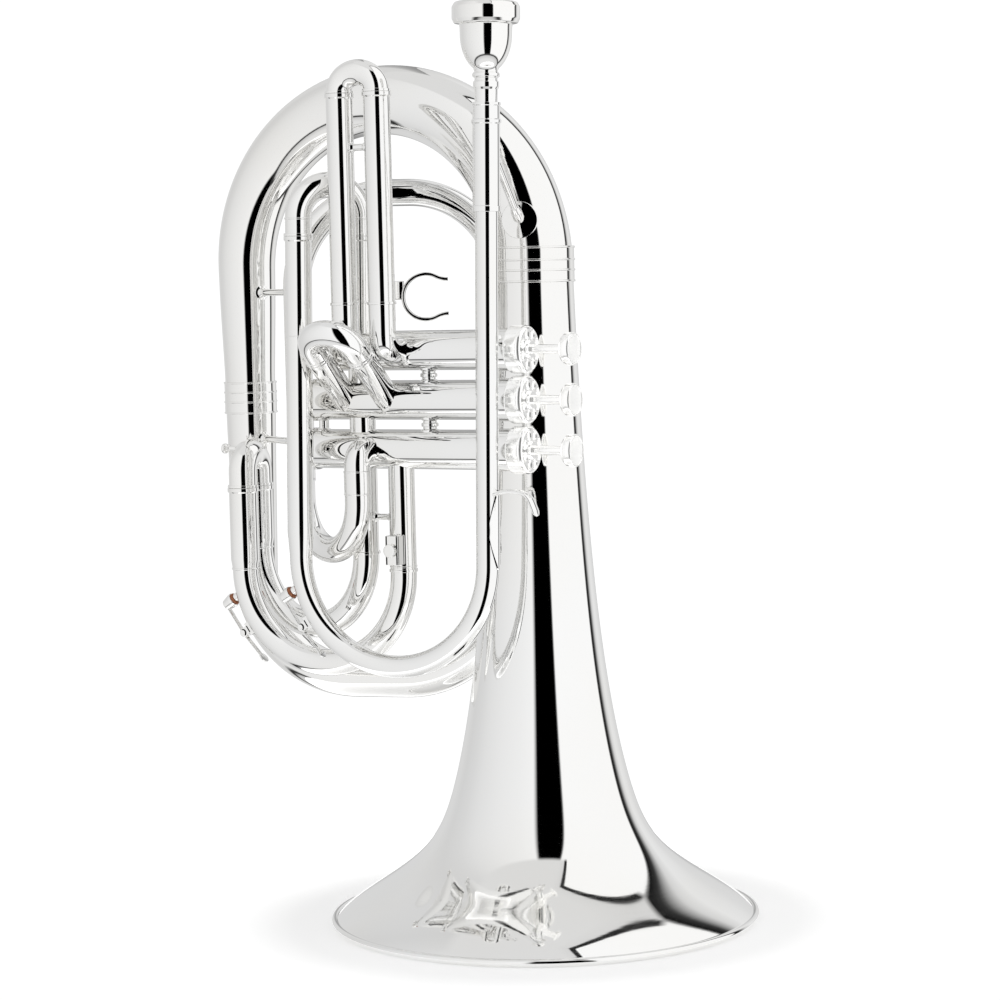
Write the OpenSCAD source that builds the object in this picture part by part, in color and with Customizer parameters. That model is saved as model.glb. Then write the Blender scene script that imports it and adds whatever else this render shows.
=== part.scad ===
// Marching baritone: a compact three-valve brass horn that stands on its bell.
// Millimetres. The bell axis is X = 0, Y = 0, the floor is Z = 0, +Z is up,
// +X is towards the valve buttons and -Y is the leadpipe side.

/* [Bell] */
// Outer diameter of the rolled bell rim
rim_d = 254; // [250:1:258]
// Diameter of the rolled bead at the rim
bead_d = 4.6; // [4:0.1:5]
// Sheet thickness of the bell
bell_wall = 0.9; // [0.8:0.1:1]
// Diameter of the bell throat where it meets the top bow
throat_d = 49.2; // [49:0.1:49.4]

/* [Bows] */
// Wall thickness of the plain tubing
tube_wall = 0.8; // [0.7:0.1:0.9]
// Distance from the bell axis to the outer branch
branch_x = 196; // [195:0.5:197]
// Diameter of the outer branch where its two halves join
branch_d = 30.4; // [30:0.1:30.8]
// Diameter of the big top bow at its crown
crown_d = 40.5; // [39:0.5:42]
// Height where the big top bow starts to bend
top_bow_z = 388; // [387:0.5:389]
// Height where the bottom bow starts to bend
bottom_bow_z = 201.3; // [200:0.1:203]
// Outer diameter of the inner bow and of the leg below it
inner_d = 16; // [15.5:0.1:16.2]

/* [Leadpipe] */
// Outer diameter of the leadpipe
leadpipe_d = 13; // [12.8:0.1:13.2]
// Outer diameter of the receiver
receiver_d = 15.4; // [15:0.1:15.6]
// Lean of the leadpipe, its bow and the tuning slide towards the buttons
lean = 1.3; // [1.2:0.1:1.4]
// Centreline radius of the leadpipe bow
leadpipe_bow_r = 61.55; // [61:0.05:62]

/* [Slides] */
// Outer diameter of the outer slide tubes
outer_d = 15.4; // [15.2:0.1:15.6]
// Outer diameter of the third slide's upper tubes
third_d = 17.2; // [17:0.1:17.4]
// Wall thickness of the slide tubes
slide_wall = 0.7; // [0.6:0.05:0.75]
// Radial clearance between an inner slide tube and its outer tube
slide_gap = 0.05; // [0.03:0.01:0.08]

/* [Valves] */
// Outer diameter of a valve casing
casing_d = 23; // [22.8:0.1:23.2]
// Bore of a valve casing
casing_bore = 20; // [19.8:0.1:20.2]
// Radial clearance between piston and casing
piston_gap = 0.05; // [0.03:0.01:0.08]
// Distance between neighbouring valve axes
valve_pitch = 28.65; // [28.4:0.05:28.8]
// Height of the lowest valve axis
valve_z = 280.7; // [280:0.1:281.5]
// Travel of a piston
travel = 16; // [15:0.5:16]
// Diameter of a finger button
button_d = 19; // [18:0.5:20]

/* [Mouthpiece] */
// Outer diameter of the mouthpiece rim
mouthpiece_d = 38; // [37:0.5:39]
// Height of the top of the mouthpiece
mouthpiece_top = 533; // [531:0.5:534]

/* [Hidden] */
$fn = 64;
eps = 0.5;

silver = [0.86, 0.86, 0.88];
bright = [0.93, 0.93, 0.95];

// Plan positions (X, Y) of the vertical tubes
branch = [-branch_x, 0];
rear = [-36, 32];
inner_leg = [-133.4, -43.9];
drop = [-79.9, -70];
third_in = [-63.2, -48];
third_left = [-172.5, -48];
third_out = [-88.2, -48];
third_back = [-175, -27];
first_left = [-82.9, -74];
first_right = [-58.3, -74];
valve_y = -48;

// Leadpipe group, given before it leans about the bottom of its bow
lean_z = 157;
pipe_x = 5.3;
pipe_y = -75;
pipe_bow_z = lean_z + leadpipe_bow_r;
pipe_left = [pipe_x - 2 * leadpipe_bow_r, pipe_y];
pipe_mid_x = pipe_x - leadpipe_bow_r;
inlet = [-92.4, -48];

slide_bore = outer_d - 2 * slide_wall;
inner_tube_d = slide_bore - 2 * slide_gap;
third_bore = third_d - 2 * slide_wall;
third_tube_d = third_bore - 2 * slide_gap;

// ---------------------------------------------------------------- helpers

module ring2d(d, wall) {
    difference() {
        circle(d = d);
        circle(d = d - 2 * wall);
    }
}

// Straight tube standing on the XY plane
module tube(d, wall, h) {
    linear_extrude(h) ring2d(d, wall);
}

// Bend in the XZ plane about (cx, cz), from angle a0 to a1, measured from +X towards +Z
module bend(cx, cz, r, a0, a1, d, wall) {
    translate([cx, 0, cz])
        rotate([90, 0, 0])
            rotate([0, 0, a0])
                rotate_extrude(angle = a1 - a0)
                    translate([r, 0])
                        ring2d(d, wall);
}

function span(p, q) = norm([q.x - p.x, q.y - p.y]);
function heading(p, q) = atan2(q.y - p.y, q.x - p.x);

// Puts its children at plan point p with local +X pointing at q
module between(p, q) {
    translate([p.x, p.y, 0])
        rotate([0, 0, heading(p, q)])
            children();
}

// Upright tube at plan point p
module upright(p, z0, z1, d, wall = tube_wall) {
    translate([p.x, p.y, z0])
        tube(d, wall, z1 - z0);
}

// Solid post at plan point p, used to shape the end of a brace
module post(p, z0, z1, d) {
    translate([p.x, p.y, z0])
        cylinder(d = d, h = z1 - z0);
}

module collar(p, z, d, grow = 1.4, h = 1.6) {
    translate([p.x, p.y, z])
        tube(d + grow, grow / 2, h);
}

module leaning() {
    translate([pipe_mid_x, pipe_y, lean_z])
        rotate([0, lean, 0])
            translate([-pipe_mid_x, -pipe_y, -lean_z])
                children();
}

// Tapered tube along a list of centres in one plane. n holds the normals in that plane,
// b is the normal of the plane, r holds the outer radii.
module tapered_tube(c, n, b, r, wall, sides = 24) {
    rings = len(c);
    function skin(k, inset) = [
        for (i = [0 : rings - 1], s = [0 : sides - 1])
            c[i] + (r[i] - inset) * (cos(360 * s / sides) * n[i] + sin(360 * s / sides) * b)
    ];
    inner0 = rings * sides;
    function at(i, s) = i * sides + s % sides;
    faces = concat(
        [for (i = [0 : rings - 2], s = [0 : sides - 1]) [at(i, s), at(i, s + 1), at(i + 1, s + 1)]],
        [for (i = [0 : rings - 2], s = [0 : sides - 1]) [at(i, s), at(i + 1, s + 1), at(i + 1, s)]],
        [for (i = [0 : rings - 2], s = [0 : sides - 1])
            [inner0 + at(i, s), inner0 + at(i + 1, s + 1), inner0 + at(i, s + 1)]],
        [for (i = [0 : rings - 2], s = [0 : sides - 1])
            [inner0 + at(i, s), inner0 + at(i + 1, s), inner0 + at(i + 1, s + 1)]],
        [for (s = [0 : sides - 1]) [at(0, s), inner0 + at(0, s), inner0 + at(0, s + 1)]],
        [for (s = [0 : sides - 1]) [at(0, s), inner0 + at(0, s + 1), at(0, s + 1)]],
        [for (s = [0 : sides - 1])
            [at(rings - 1, s), inner0 + at(rings - 1, s + 1), inner0 + at(rings - 1, s)]],
        [for (s = [0 : sides - 1])
            [at(rings - 1, s), at(rings - 1, s + 1), inner0 + at(rings - 1, s + 1)]]
    );
    polyhedron(points = concat(skin(0, 0), skin(0, wall)), faces = faces, convexity = 6);
}

// ---------------------------------------------------------------- bell and bows

bell_top_z = 386;
throat_z = 376;
function bell_r(z) = 16.95 + 3.314e6 / pow(z + 189.16, 2.047) + 37.4 * exp(-pow(z / 31.55, 2));

bell_steps = 26;
seam = 10;
function bell_z(i) = bead_d / 2 + (throat_z - bead_d / 2) * pow(i / bell_steps, 1.8);

// Wall of the bell between two of its height steps, with any points added at the top
module bell_wall_part(first, last, top = []) {
    outer = [for (i = [first : last]) [bell_r(bell_z(i)), bell_z(i)]];
    inner = [for (i = [last : -1 : first]) [bell_r(bell_z(i)) - bell_wall, bell_z(i)]];
    polygon(concat(outer, top, inner));
}

// Lower part of the bell, with the rolled bead that it stands on
module bell_flare() {
    rest = 0.15;
    below = 10;
    color(silver)
        rotate_extrude($fn = 96)
            difference() {
                union() {
                    bell_wall_part(0, seam);
                    translate([(rim_d - bead_d) / 2, bead_d / 2 - rest])
                        circle(d = bead_d, $fn = 32);
                }
                translate([0, -below])
                    square([rim_d, below]);
            }
}

module bell_stem() {
    throat_r = throat_d / 2;
    throat_bore_r = throat_r - bell_wall;
    color(silver)
        rotate_extrude($fn = 96)
            bell_wall_part(seam, bell_steps, [
                [throat_r, throat_z + 1], [throat_r, bell_top_z],
                [throat_bore_r, bell_top_z], [throat_bore_r, throat_z + 1]
            ]);
}

module bell_ferrule() {
    z0 = 375.5;
    z1 = 396.5;
    ring_h = 1.2;
    color(silver)
        difference() {
            union() {
                translate([0, 0, z0])
                    cylinder(d = throat_d + 1.4, h = z1 - z0);
                for (z = [z0, 382, 388, z1 - ring_h])
                    translate([0, 0, z])
                        cylinder(d = throat_d + 2.6, h = ring_h);
            }
            translate([0, 0, z0 - eps])
                cylinder(d = throat_d + 0.1, h = z1 - z0 + 2 * eps);
        }
}

joint_z = 309;

module top_bow() {
    bow_r = branch_x / 2;
    arc_steps = 22;
    left_z = [366, 345, 320, joint_z];
    left_d = [33.8, 32.2, branch_d, branch_d];
    arc_c = [for (i = [0 : arc_steps]) let (a = 180 * i / arc_steps)
        [-bow_r + bow_r * cos(a), 0, top_bow_z + bow_r * sin(a)]];
    arc_n = [for (i = [0 : arc_steps]) let (a = 180 * i / arc_steps) [cos(a), 0, sin(a)]];
    function arc_d(t) = t < 0.5
        ? throat_d - 0.2 + (crown_d - throat_d + 0.2) * t / 0.5
        : crown_d + (34.6 - crown_d) * (t - 0.5) / 0.5;
    arc_r = [for (i = [0 : arc_steps]) arc_d(i / arc_steps) / 2];
    c = concat([[0, 0, bell_top_z]], arc_c, [for (z = left_z) [-branch_x, 0, z]]);
    n = concat([[1, 0, 0]], arc_n, [for (z = left_z) [-1, 0, 0]]);
    r = concat([(throat_d - 0.2) / 2], arc_r, [for (d = left_d) d / 2]);
    color(silver)
        tapered_tube(c, n, [0, -1, 0], r, 1);
}

module branch_ferrule() {
    z0 = 299;
    z1 = 318.5;
    ring_h = 1;
    color(silver)
        difference() {
            union() {
                post(branch, z0, z1, branch_d + 1.4);
                for (z = [z0, 305, 311, z1 - ring_h])
                    post(branch, z, z + ring_h, branch_d + 2.4);
            }
            post(branch, z0 - eps, z1 + eps, branch_d + 0.1);
        }
}

bottom_bend_r = 65;
rear_joint_z = 242;

module bottom_bow() {
    width = span(branch, rear);
    u = [cos(heading(branch, rear)), sin(heading(branch, rear)), 0];
    b = [u.y, -u.x, 0];
    base = [branch.x, branch.y, 0];
    steps = 9;
    left_z = [joint_z, 298, 270, 235];
    left_d = [branch_d, branch_d, 29, 28];
    bend_a = [for (i = [0 : steps]) 90 * i / steps];
    c_left = [for (z = left_z) base + [0, 0, z]];
    c_bend1 = [for (a = bend_a) base + u * bottom_bend_r * (1 - cos(a))
        + [0, 0, bottom_bow_z - bottom_bend_r * sin(a)]];
    c_bend2 = [for (a = bend_a) base + u * (width - bottom_bend_r * (1 - sin(a)))
        + [0, 0, bottom_bow_z - bottom_bend_r * cos(a)]];
    c_right = [for (z = [222, 234, rear_joint_z]) [rear.x, rear.y, z]];
    n_left = [for (z = left_z) -u];
    n_bend1 = [for (a = bend_a) -u * cos(a) - [0, 0, 1] * sin(a)];
    n_bend2 = [for (a = bend_a) u * sin(a) - [0, 0, 1] * cos(a)];
    n_right = [for (i = [0 : 2]) u];
    d_bend1 = [for (i = [0 : steps]) 27 - 2 * i / steps];
    d_bend2 = [for (i = [0 : steps]) 24.6 - 4 * i / steps];
    d = concat(left_d, d_bend1, d_bend2, [18.6, inner_d, inner_d]);
    color(silver)
        tapered_tube(
            concat(c_left, c_bend1, c_bend2, c_right),
            concat(n_left, n_bend1, n_bend2, n_right),
            b, [for (x = d) x / 2], 0.9
        );
}

module rear_ferrule() {
    color(silver)
        difference() {
            union() {
                post(rear, 234, 250, inner_d + 1.4);
                for (z = [234, 249])
                    post(rear, z, z + 1, inner_d + 2.4);
            }
            post(rear, 233, 251, inner_d + 0.1);
        }
}

inner_bow_z = 375.5;
inner_bend_r = 55;
small_joint_z = 262;

module inner_bow() {
    width = span(rear, inner_leg);
    color(silver)
        between(rear, inner_leg) {
            upright([0, 0], rear_joint_z, inner_bow_z, inner_d);
            bend(inner_bend_r, inner_bow_z, inner_bend_r, 90, 180, inner_d, tube_wall);
            translate([inner_bend_r, 0, inner_bow_z + inner_bend_r])
                rotate([0, 90, 0])
                    tube(inner_d, tube_wall, width - 2 * inner_bend_r);
            bend(width - inner_bend_r, inner_bow_z, inner_bend_r, 0, 90, inner_d, tube_wall);
            upright([width, 0], small_joint_z, inner_bow_z, inner_d);
        }
}

small_bow_z = 251.5;
small_d = inner_d - 0.8;
drop_top_z = 272;
elbow_r = 9;

// Elbow between an upright tube at plan point p and a tube that runs towards +Y.
// It joins the upright tube at height z and has it below (a0 = 90) or above (a0 = 180).
module elbow(p, z, r, a0, d, wall = tube_wall) {
    translate([p.x, p.y, 0])
        rotate([0, 0, 90])
            bend(r, z, r, a0, a0 + 90, d, wall);
}

module small_bow() {
    r = span(inner_leg, drop) / 2;
    color(silver)
        between(inner_leg, drop) {
            upright([0, 0], small_bow_z, small_joint_z, small_d);
            bend(r, small_bow_z, r, 180, 360, small_d, tube_wall);
            upright([2 * r, 0], small_bow_z, small_joint_z, small_d);
        }
}

// Leg that rises from the small bow and turns into the front of the lowest casing
module valve_elbow() {
    color(silver)
        difference() {
            union() {
                upright(drop, small_joint_z, drop_top_z, small_d);
                elbow(drop, drop_top_z, elbow_r, 90, small_d);
                translate([drop.x, drop.y + elbow_r, drop_top_z + elbow_r])
                    rotate([-90, 0, 0])
                        tube(small_d, tube_wall, 5);
            }
            casing_body(1);
        }
}

module small_bow_ferrule() {
    color(silver)
        difference() {
            union() {
                post(drop, 255.5, 269.5, small_d + 1.2);
                for (z = [255.5, 268.5])
                    post(drop, z, z + 1, small_d + 2);
            }
            post(drop, 255, 270, small_d + 0.1);
        }
}

// Round rod between two points, with a disc at each end, for braces between tubes
module rod(p, q, d, foot_d = 0, foot_p = 0, foot_q = 0) {
    v = q - p;
    translate(p)
        rotate([0, acos(v.z / norm(v)), atan2(v.y, v.x)]) {
            cylinder(d = d, h = norm(v));
            if (foot_d > 0) {
                translate([0, 0, foot_p])
                    cylinder(d = foot_d, h = 1.6);
                translate([0, 0, norm(v) - foot_q - 1.6])
                    cylinder(d = foot_d, h = 1.6);
            }
        }
}

// Rod between two upright tubes at height z, its ends shaped to their skins. aside moves it off
// their centres, to the left as seen from p.
module stay_between(p, q, z, d, foot_d, p_d, q_d, aside = 0) {
    foot_in = 0.8;
    clear = 12;
    turn = heading(p, q) + 90;
    shift = aside * [cos(turn), sin(turn)];
    difference() {
        rod([p.x + shift.x, p.y + shift.y, z], [q.x + shift.x, q.y + shift.y, z], d, foot_d,
            p_d / 2 - foot_in, q_d / 2 - foot_in);
        post(p, z - clear, z + clear, p_d);
        post(q, z - clear, z + clear, q_d);
    }
}

module braces() {
    upper_z = 373;
    lower_z = 283.6;
    aside = 2.4;
    color(silver) {
        // Outer branch to the inner leg, upper and lower, clear of the third slide as it is pulled
        stay_between(branch, inner_leg, upper_z, 4, 9, 34.6, inner_d, aside);
        stay_between(branch, inner_leg, lower_z, 4, 9, 30, inner_d, aside);
        // Between the two lower tubes of the third slide
        stay_between(third_out, third_in, 241, 3.6, 7, outer_d, outer_d);
        // Between the two tubes of the first slide
        stay_between(first_left, first_right, 454.7, 4, 7.5, outer_d, outer_d);
    }
}

// ---------------------------------------------------------------- leadpipe and tuning slide

pipe_ring_z = 419;
receiver_ring_z = 466;
receiver_top_z = 477.5;
bore_top_d = 13;
bore_bottom_d = 11.6;
shank_depth = 24;

module receiver() {
    p = [pipe_x, pipe_y];
    color(silver)
        leaning()
            difference() {
                union() {
                    post(p, pipe_ring_z, receiver_top_z, receiver_d);
                    post(p, pipe_ring_z - 2, pipe_ring_z + 1, receiver_d + 1);
                    post(p, receiver_ring_z, receiver_ring_z + 2, receiver_d + 1.2);
                    post(p, receiver_top_z - 1.5, receiver_top_z, receiver_d + 0.8);
                }
                translate([pipe_x, pipe_y, receiver_top_z - shank_depth])
                    cylinder(d1 = bore_bottom_d, d2 = bore_top_d, h = shank_depth + 0.001);
                post(p, pipe_ring_z - 3, receiver_top_z - shank_depth + eps, leadpipe_d - 2);
                post(p, pipe_ring_z - 3, pipe_ring_z + 8, leadpipe_d);
            }
}

module leadpipe() {
    color(silver)
        leaning()
            upright([pipe_x, pipe_y], pipe_bow_z, pipe_ring_z + 8, leadpipe_d);
}

module leadpipe_bow() {
    color(silver)
        leaning()
            translate([0, pipe_y, 0])
                bend(pipe_mid_x, pipe_bow_z, leadpipe_bow_r, 180, 360, leadpipe_d, tube_wall);
}

tuning_top_z = 404;

module tuning_tube() {
    cone_h = 14;
    color(silver)
        leaning() {
            difference() {
                union() {
                    translate([pipe_left.x, pipe_left.y, pipe_bow_z])
                        cylinder(d1 = leadpipe_d, d2 = outer_d, h = cone_h);
                    post(pipe_left, pipe_bow_z + cone_h, tuning_top_z, outer_d);
                    post(pipe_left, tuning_top_z - 2, tuning_top_z, outer_d + 1.6);
                }
                translate([pipe_left.x, pipe_left.y, pipe_bow_z - 0.001])
                    cylinder(d1 = leadpipe_d - 2 * tube_wall, d2 = slide_bore, h = cone_h + 0.002);
                post(pipe_left, pipe_bow_z + cone_h, tuning_top_z + eps, slide_bore);
            }
        }
}

module tuning_inlet() {
    color(silver)
        difference() {
            leaning() {
                upright(inlet, valve_z + 2 * valve_pitch, tuning_top_z, outer_d, slide_wall);
                collar(inlet, tuning_top_z - 2, outer_d);
                collar(inlet, 365, outer_d);
            }
            casing_body(3);
        }
}

tuning_crook_z = 415;

// Fixed length of an inner slide tube below its crook
module slide_leg(p, z0, z1, d) {
    upright(p, z0, z1, d, slide_wall - 0.1);
}

module tuning_slide() {
    r = span(pipe_left, inlet) / 2;
    color(bright)
        leaning() {
            for (p = [pipe_left, inlet]) {
                slide_leg(p, 358, tuning_top_z + eps, inner_tube_d);
                difference() {
                    union() {
                        post(p, tuning_top_z + 0.05, tuning_crook_z, outer_d);
                        post(p, tuning_top_z + 0.05, tuning_top_z + 1.6, outer_d + 1.6);
                        post(p, tuning_crook_z - 1.5, tuning_crook_z, outer_d + 1);
                    }
                    post(p, tuning_top_z - 1, tuning_crook_z + 1, inner_tube_d - 2 * (slide_wall - 0.1));
                }
            }
            between(pipe_left, inlet)
                bend(r, tuning_crook_z, r, 0, 180, outer_d - 0.6, tube_wall);
        }
}

module bell_brace() {
    near = [12.1, pipe_y, 458];
    foot = [4.5, -22.2, 411.6];
    along = (foot - near) / norm(foot - near);
    sleeve = 11;
    color(silver)
        difference() {
            union() {
                rod(near, foot + 3 * along, 4.6);
                rod(foot - sleeve * along, foot + 2 * along, 6.6);
                translate(foot)
                    rotate([90, 0, 18])
                        translate([0, 0, -3])
                            cylinder(d = 21.4, h = 4);
            }
            bow_tube();
            leaning()
                post([pipe_x, pipe_y], 440, 465, receiver_d);
        }
}

// Smooth stand-in for the bell side of the top bow, a little oversize, to shape the brace foot
module bow_tube() {
    bow_r = branch_x / 2;
    translate([-bow_r, 0, top_bow_z])
        rotate([90, 0, 0])
            rotate_extrude(angle = 45)
                translate([bow_r, 0])
                    circle(d = throat_d - 0.6);
}

// ---------------------------------------------------------------- hooks and lyre socket

hook_z = 368.7;
hook_reach = 38.2;
hook_turn = 27;
hook_w = 8;
hook_root_x = inlet.x + (hook_z - lean_z) * sin(lean);

// Bent strip in the XZ plane about (cx, cz)
module strip(cx, cz, r, a0, a1, t = 1.8, w = hook_w) {
    translate([cx, 0, cz])
        rotate([90, 0, 0])
            rotate([0, 0, a0])
                rotate_extrude(angle = a1 - a0)
                    translate([r - t / 2, -w / 2])
                        square([t, w]);
}

module thumb_hook() {
    mid_r = 13.2;
    flare_r = 14;
    mouth = 62;
    flare = 29;
    flare_x = hook_reach + (mid_r + flare_r) * cos(mouth);
    flare_z = (mid_r + flare_r) * sin(mouth);
    bar_z0 = 367.2;
    bar_h = 11;
    color(bright)
        difference() {
            translate([hook_root_x, inlet.y, 0])
                rotate([0, 0, hook_turn]) {
                    strip(hook_reach, hook_z, mid_r, mouth, 360 - mouth);
                    strip(flare_x, hook_z + flare_z, flare_r, 180 + mouth, 180 + mouth + flare);
                    strip(flare_x, hook_z - flare_z, flare_r, 180 - mouth - flare, 180 - mouth);
                    translate([0, -hook_w / 2, bar_z0])
                        cube([hook_reach - mid_r + 0.4, hook_w, bar_h]);
                }
            leaning()
                post(inlet, 350, 395, outer_d);
            leaning()
                post(inlet, 364.9, 366.7, outer_d + 1.5);
        }
}

module finger_hook() {
    arm_z = 257;
    arm_end = 31.5;
    curl_r = 9;
    w = 7;
    t = 3;
    arm_x = 10;
    color(bright) {
        difference() {
            union() {
                translate([arm_x, pipe_y - w / 2, arm_z])
                    cube([arm_end - arm_x, w, t]);
                // Leaf-shaped foot wrapped round the leadpipe
                intersection() {
                    leaning()
                        post([pipe_x, pipe_y], 216, 262, leadpipe_d + 1.6);
                    translate([pipe_x + 1, pipe_y, 239])
                        rotate([0, 90, 0])
                            intersection() {
                                translate([0, 42, 0])
                                    cylinder(r = 48, h = 20);
                                translate([0, -42, 0])
                                    cylinder(r = 48, h = 20);
                            }
                }
            }
            leaning()
                post([pipe_x, pipe_y], 200, 280, leadpipe_d);
        }
        translate([arm_end, pipe_y, arm_z + t - curl_r])
            rotate([90, 0, 0])
                rotate_extrude(angle = 90)
                    translate([curl_r - t, -w / 2])
                        square([t, w]);
        translate([arm_end + curl_r - t, pipe_y - w / 2, arm_z + t - curl_r - 5])
            cube([t, w, 5]);
    }
}

lyre = [-66.4, -63.4, 214.3];
lyre_size = [8.4, 7.5, 17];

module lyre_socket() {
    slot = [5.2, 4.6];
    color(bright)
        difference() {
            translate(lyre)
                cube([lyre_size.x, lyre_size.y + 4, lyre_size.z]);
            translate([lyre.x + (lyre_size.x - slot.x) / 2, lyre.y + 1.4, lyre.z - eps])
                cube([slot.x, slot.y, lyre_size.z + 2 * eps]);
            translate([lyre.x + lyre_size.x / 2, lyre.y - eps, lyre.z + lyre_size.z / 2])
                rotate([-90, 0, 0])
                    cylinder(d = 2.6, h = 3);
            post(third_in, lyre.z - 3, lyre.z + 25, outer_d);
        }
}

module lyre_screw() {
    knob_d = 8;
    knob_h = 2.6;
    color(bright)
        translate([lyre.x + lyre_size.x / 2, lyre.y, lyre.z + lyre_size.z / 2])
            rotate([90, 0, 0]) {
                translate([0, 0, 0.8])
                    difference() {
                        cylinder(d = knob_d, h = knob_h);
                        for (i = [0 : 11])
                            rotate([0, 0, 30 * i])
                                translate([knob_d / 2 + 0.1, 0, -eps])
                                    cylinder(d = 0.9, h = knob_h + 2 * eps, $fn = 16);
                    }
                translate([0, 0, -1.3])
                    cylinder(d = 2.5, h = 2.2);
            }
}

// ---------------------------------------------------------------- valve slides

first_top_z = 485.5;
first_grip = 1.2;
first_elbow_z = 348;
first_elbow_r = 9;

module first_slide_tubes() {
    color(silver)
        for (p = [first_left, first_right])
            difference() {
                union() {
                    upright(p, first_elbow_z, first_top_z, outer_d, slide_wall);
                    for (z = [365, first_top_z - 2])
                        collar(p, z, outer_d);
                    elbow(p, first_elbow_z, first_elbow_r, 180, outer_d, slide_wall);
                    translate([p.x, p.y + first_elbow_r, first_elbow_z - first_elbow_r])
                        rotate([-90, 0, 0])
                            tube(outer_d, slide_wall, 7);
                }
                casing_body(3);
            }
}

module first_slide() {
    r = span(first_left, first_right) / 2;
    crook_d = outer_d - 0.4;
    color(bright) {
        for (p = [first_left, first_right]) {
            slide_leg(p, 410, first_top_z + first_grip, inner_tube_d);
            difference() {
                post(p, first_top_z + 0.05, first_top_z + first_grip, outer_d + 1);
                post(p, first_top_z - 1, first_top_z + 3, inner_tube_d - 0.2);
            }
        }
        between(first_left, first_right)
            bend(r, first_top_z + first_grip, r, 0, 180, crook_d, tube_wall);
    }
}

second_x = [-95.3, -67.5];
second_len = 45;
second_tilt = 40.5;
second_drop = 3.5;
second_grip = 7;
second_mid = (second_x[0] + second_x[1]) / 2;
second_r = (second_x[1] - second_x[0]) / 2;
second_d = outer_d - 0.2;

// Frame of the second slide: local +Z runs out of the second casing, forward and up.
// Its plane passes a little below the casing's axis.
module second_frame() {
    translate([second_mid, valve_y, axis_z(2)])
        rotate([90 - second_tilt, 0, 0])
            translate([0, -second_drop, 0])
                children();
}

module second_slide_tubes() {
    mouth_h = 2;
    color(silver)
        difference() {
            second_frame()
                for (x = [-second_r, second_r])
                    translate([x, 0, 0]) {
                        translate([0, 0, 1])
                            tube(second_d, slide_wall, second_len - mouth_h - 1);
                        translate([0, 0, second_len - mouth_h])
                            tube(second_d + 1.4, slide_wall + 0.7, mouth_h);
                    }
            casing_body(2);
            // Room for the knuckle tube beside the left tube
            translate([third_out.x, valve_y, axis_z(2)])
                cylinder(d = outer_d + 0.4, h = valve_pitch);
        }
}

module second_slide() {
    leg_d = second_d - 2 * (slide_wall + slide_gap);
    leg_wall = slide_wall - 0.1;
    grip_z = second_len + 0.05;
    color(bright)
        second_frame() {
            for (x = [-second_r, second_r])
                translate([x, 0, 0]) {
                    translate([0, 0, 20])
                        tube(leg_d, leg_wall, second_len - 18);
                    translate([0, 0, grip_z])
                        tube(second_d, (second_d - leg_d) / 2 + leg_wall, second_grip);
                    translate([0, 0, grip_z])
                        tube(second_d + 0.8, 1.6, 1.4);
                }
            bend(0, grip_z + second_grip, second_r, 0, 180, second_d - 0.2, tube_wall);
        }
}

third_bow_z = 208;
third_return_z = 219;
third_top_z = 256.8;
third_crook_z = 266;
knob_z = third_crook_z + 14;

// Upper outer tube of the third slide with its flange
module third_outer(p, z0) {
    difference() {
        union() {
            translate([p.x, p.y, z0])
                cylinder(d1 = outer_d, d2 = third_d, h = 6);
            post(p, z0 + 6, third_top_z, third_d);
            post(p, third_top_z - 1.6, third_top_z, third_d + 2);
        }
        translate([p.x, p.y, z0 - 0.001])
            cylinder(d1 = outer_d - 2 * tube_wall, d2 = third_bore, h = 6.002);
        post(p, z0 + 6, third_top_z + eps, third_bore);
    }
}

module third_slide_loop() {
    r = span(third_left, third_in) / 2;
    color(silver) {
        difference() {
            upright(third_in, third_bow_z, valve_z, outer_d);
            casing_body(1);
        }
        collar(third_in, 209.2, outer_d);
        between(third_left, third_in)
            bend(r, third_bow_z, r, 180, 360, outer_d, tube_wall);
        third_outer(third_left, third_bow_z);
    }
}

module third_slide_return() {
    width = span(third_back, third_out);
    r = width / 2;
    color(silver)
        difference() {
            between(third_back, third_out) {
                upright([width, 0], third_return_z, valve_z, outer_d);
                collar([width, 0], third_return_z, outer_d);
                bend(r, third_return_z, r, 180, 360, outer_d, tube_wall);
                third_outer([0, 0], third_return_z);
            }
            casing_body(1);
        }
}

module third_slide() {
    width = span(third_left, third_back);
    r = width / 2;
    crook_d = third_d - 0.6;
    knob_x = -crook_d / 2;
    color(bright)
        between(third_left, third_back) {
            for (p = [[0, 0], [width, 0]]) {
                slide_leg(p, third_return_z + 8, third_top_z + eps, third_tube_d);
                difference() {
                    union() {
                        post(p, third_top_z + 0.05, third_crook_z, third_d);
                        post(p, third_top_z + 0.05, third_top_z + 1.6, third_d + 1.4);
                    }
                    post(p, third_top_z - 1, third_crook_z + 1, third_tube_d - 2 * (slide_wall - 0.1));
                }
            }
            bend(r, third_crook_z, r, 0, 180, crook_d, tube_wall);
        }
    // Pull knob on the outside of the crook
    color(bright)
        difference() {
            translate([third_left.x + knob_x - 7, third_left.y + 3, knob_z])
                rotate([0, 90, 0]) {
                    cylinder(d = 3.2, h = 12);
                    cylinder(d = 6, h = 2.4);
                    translate([0, 0, 3.6])
                        cylinder(d = 4.6, h = 1);
                }
            between(third_left, third_back)
                translate([r, 0, third_crook_z])
                    rotate([90, 0, 0])
                        rotate_extrude(angle = 170)
                            translate([r, 0])
                                circle(d = crook_d);
            translate([third_left.x, third_left.y, third_crook_z - 10])
                cylinder(d = third_d, h = 10);
        }
}

// ---------------------------------------------------------------- valves

casing_x0 = -118;
casing_x1 = 12;
cap_x1 = 22.5;
cap_d = 27.4;
bottom_cap_x0 = -124.4;
piston_len = 94;
piston_x1 = 4;
piston_x0 = piston_x1 - piston_len;
stem_d = 5.4;
button_x = 46.5;
button_h = 4.6;
spring_pocket = 6;
spring_seat = casing_x0 + 2;

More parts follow.
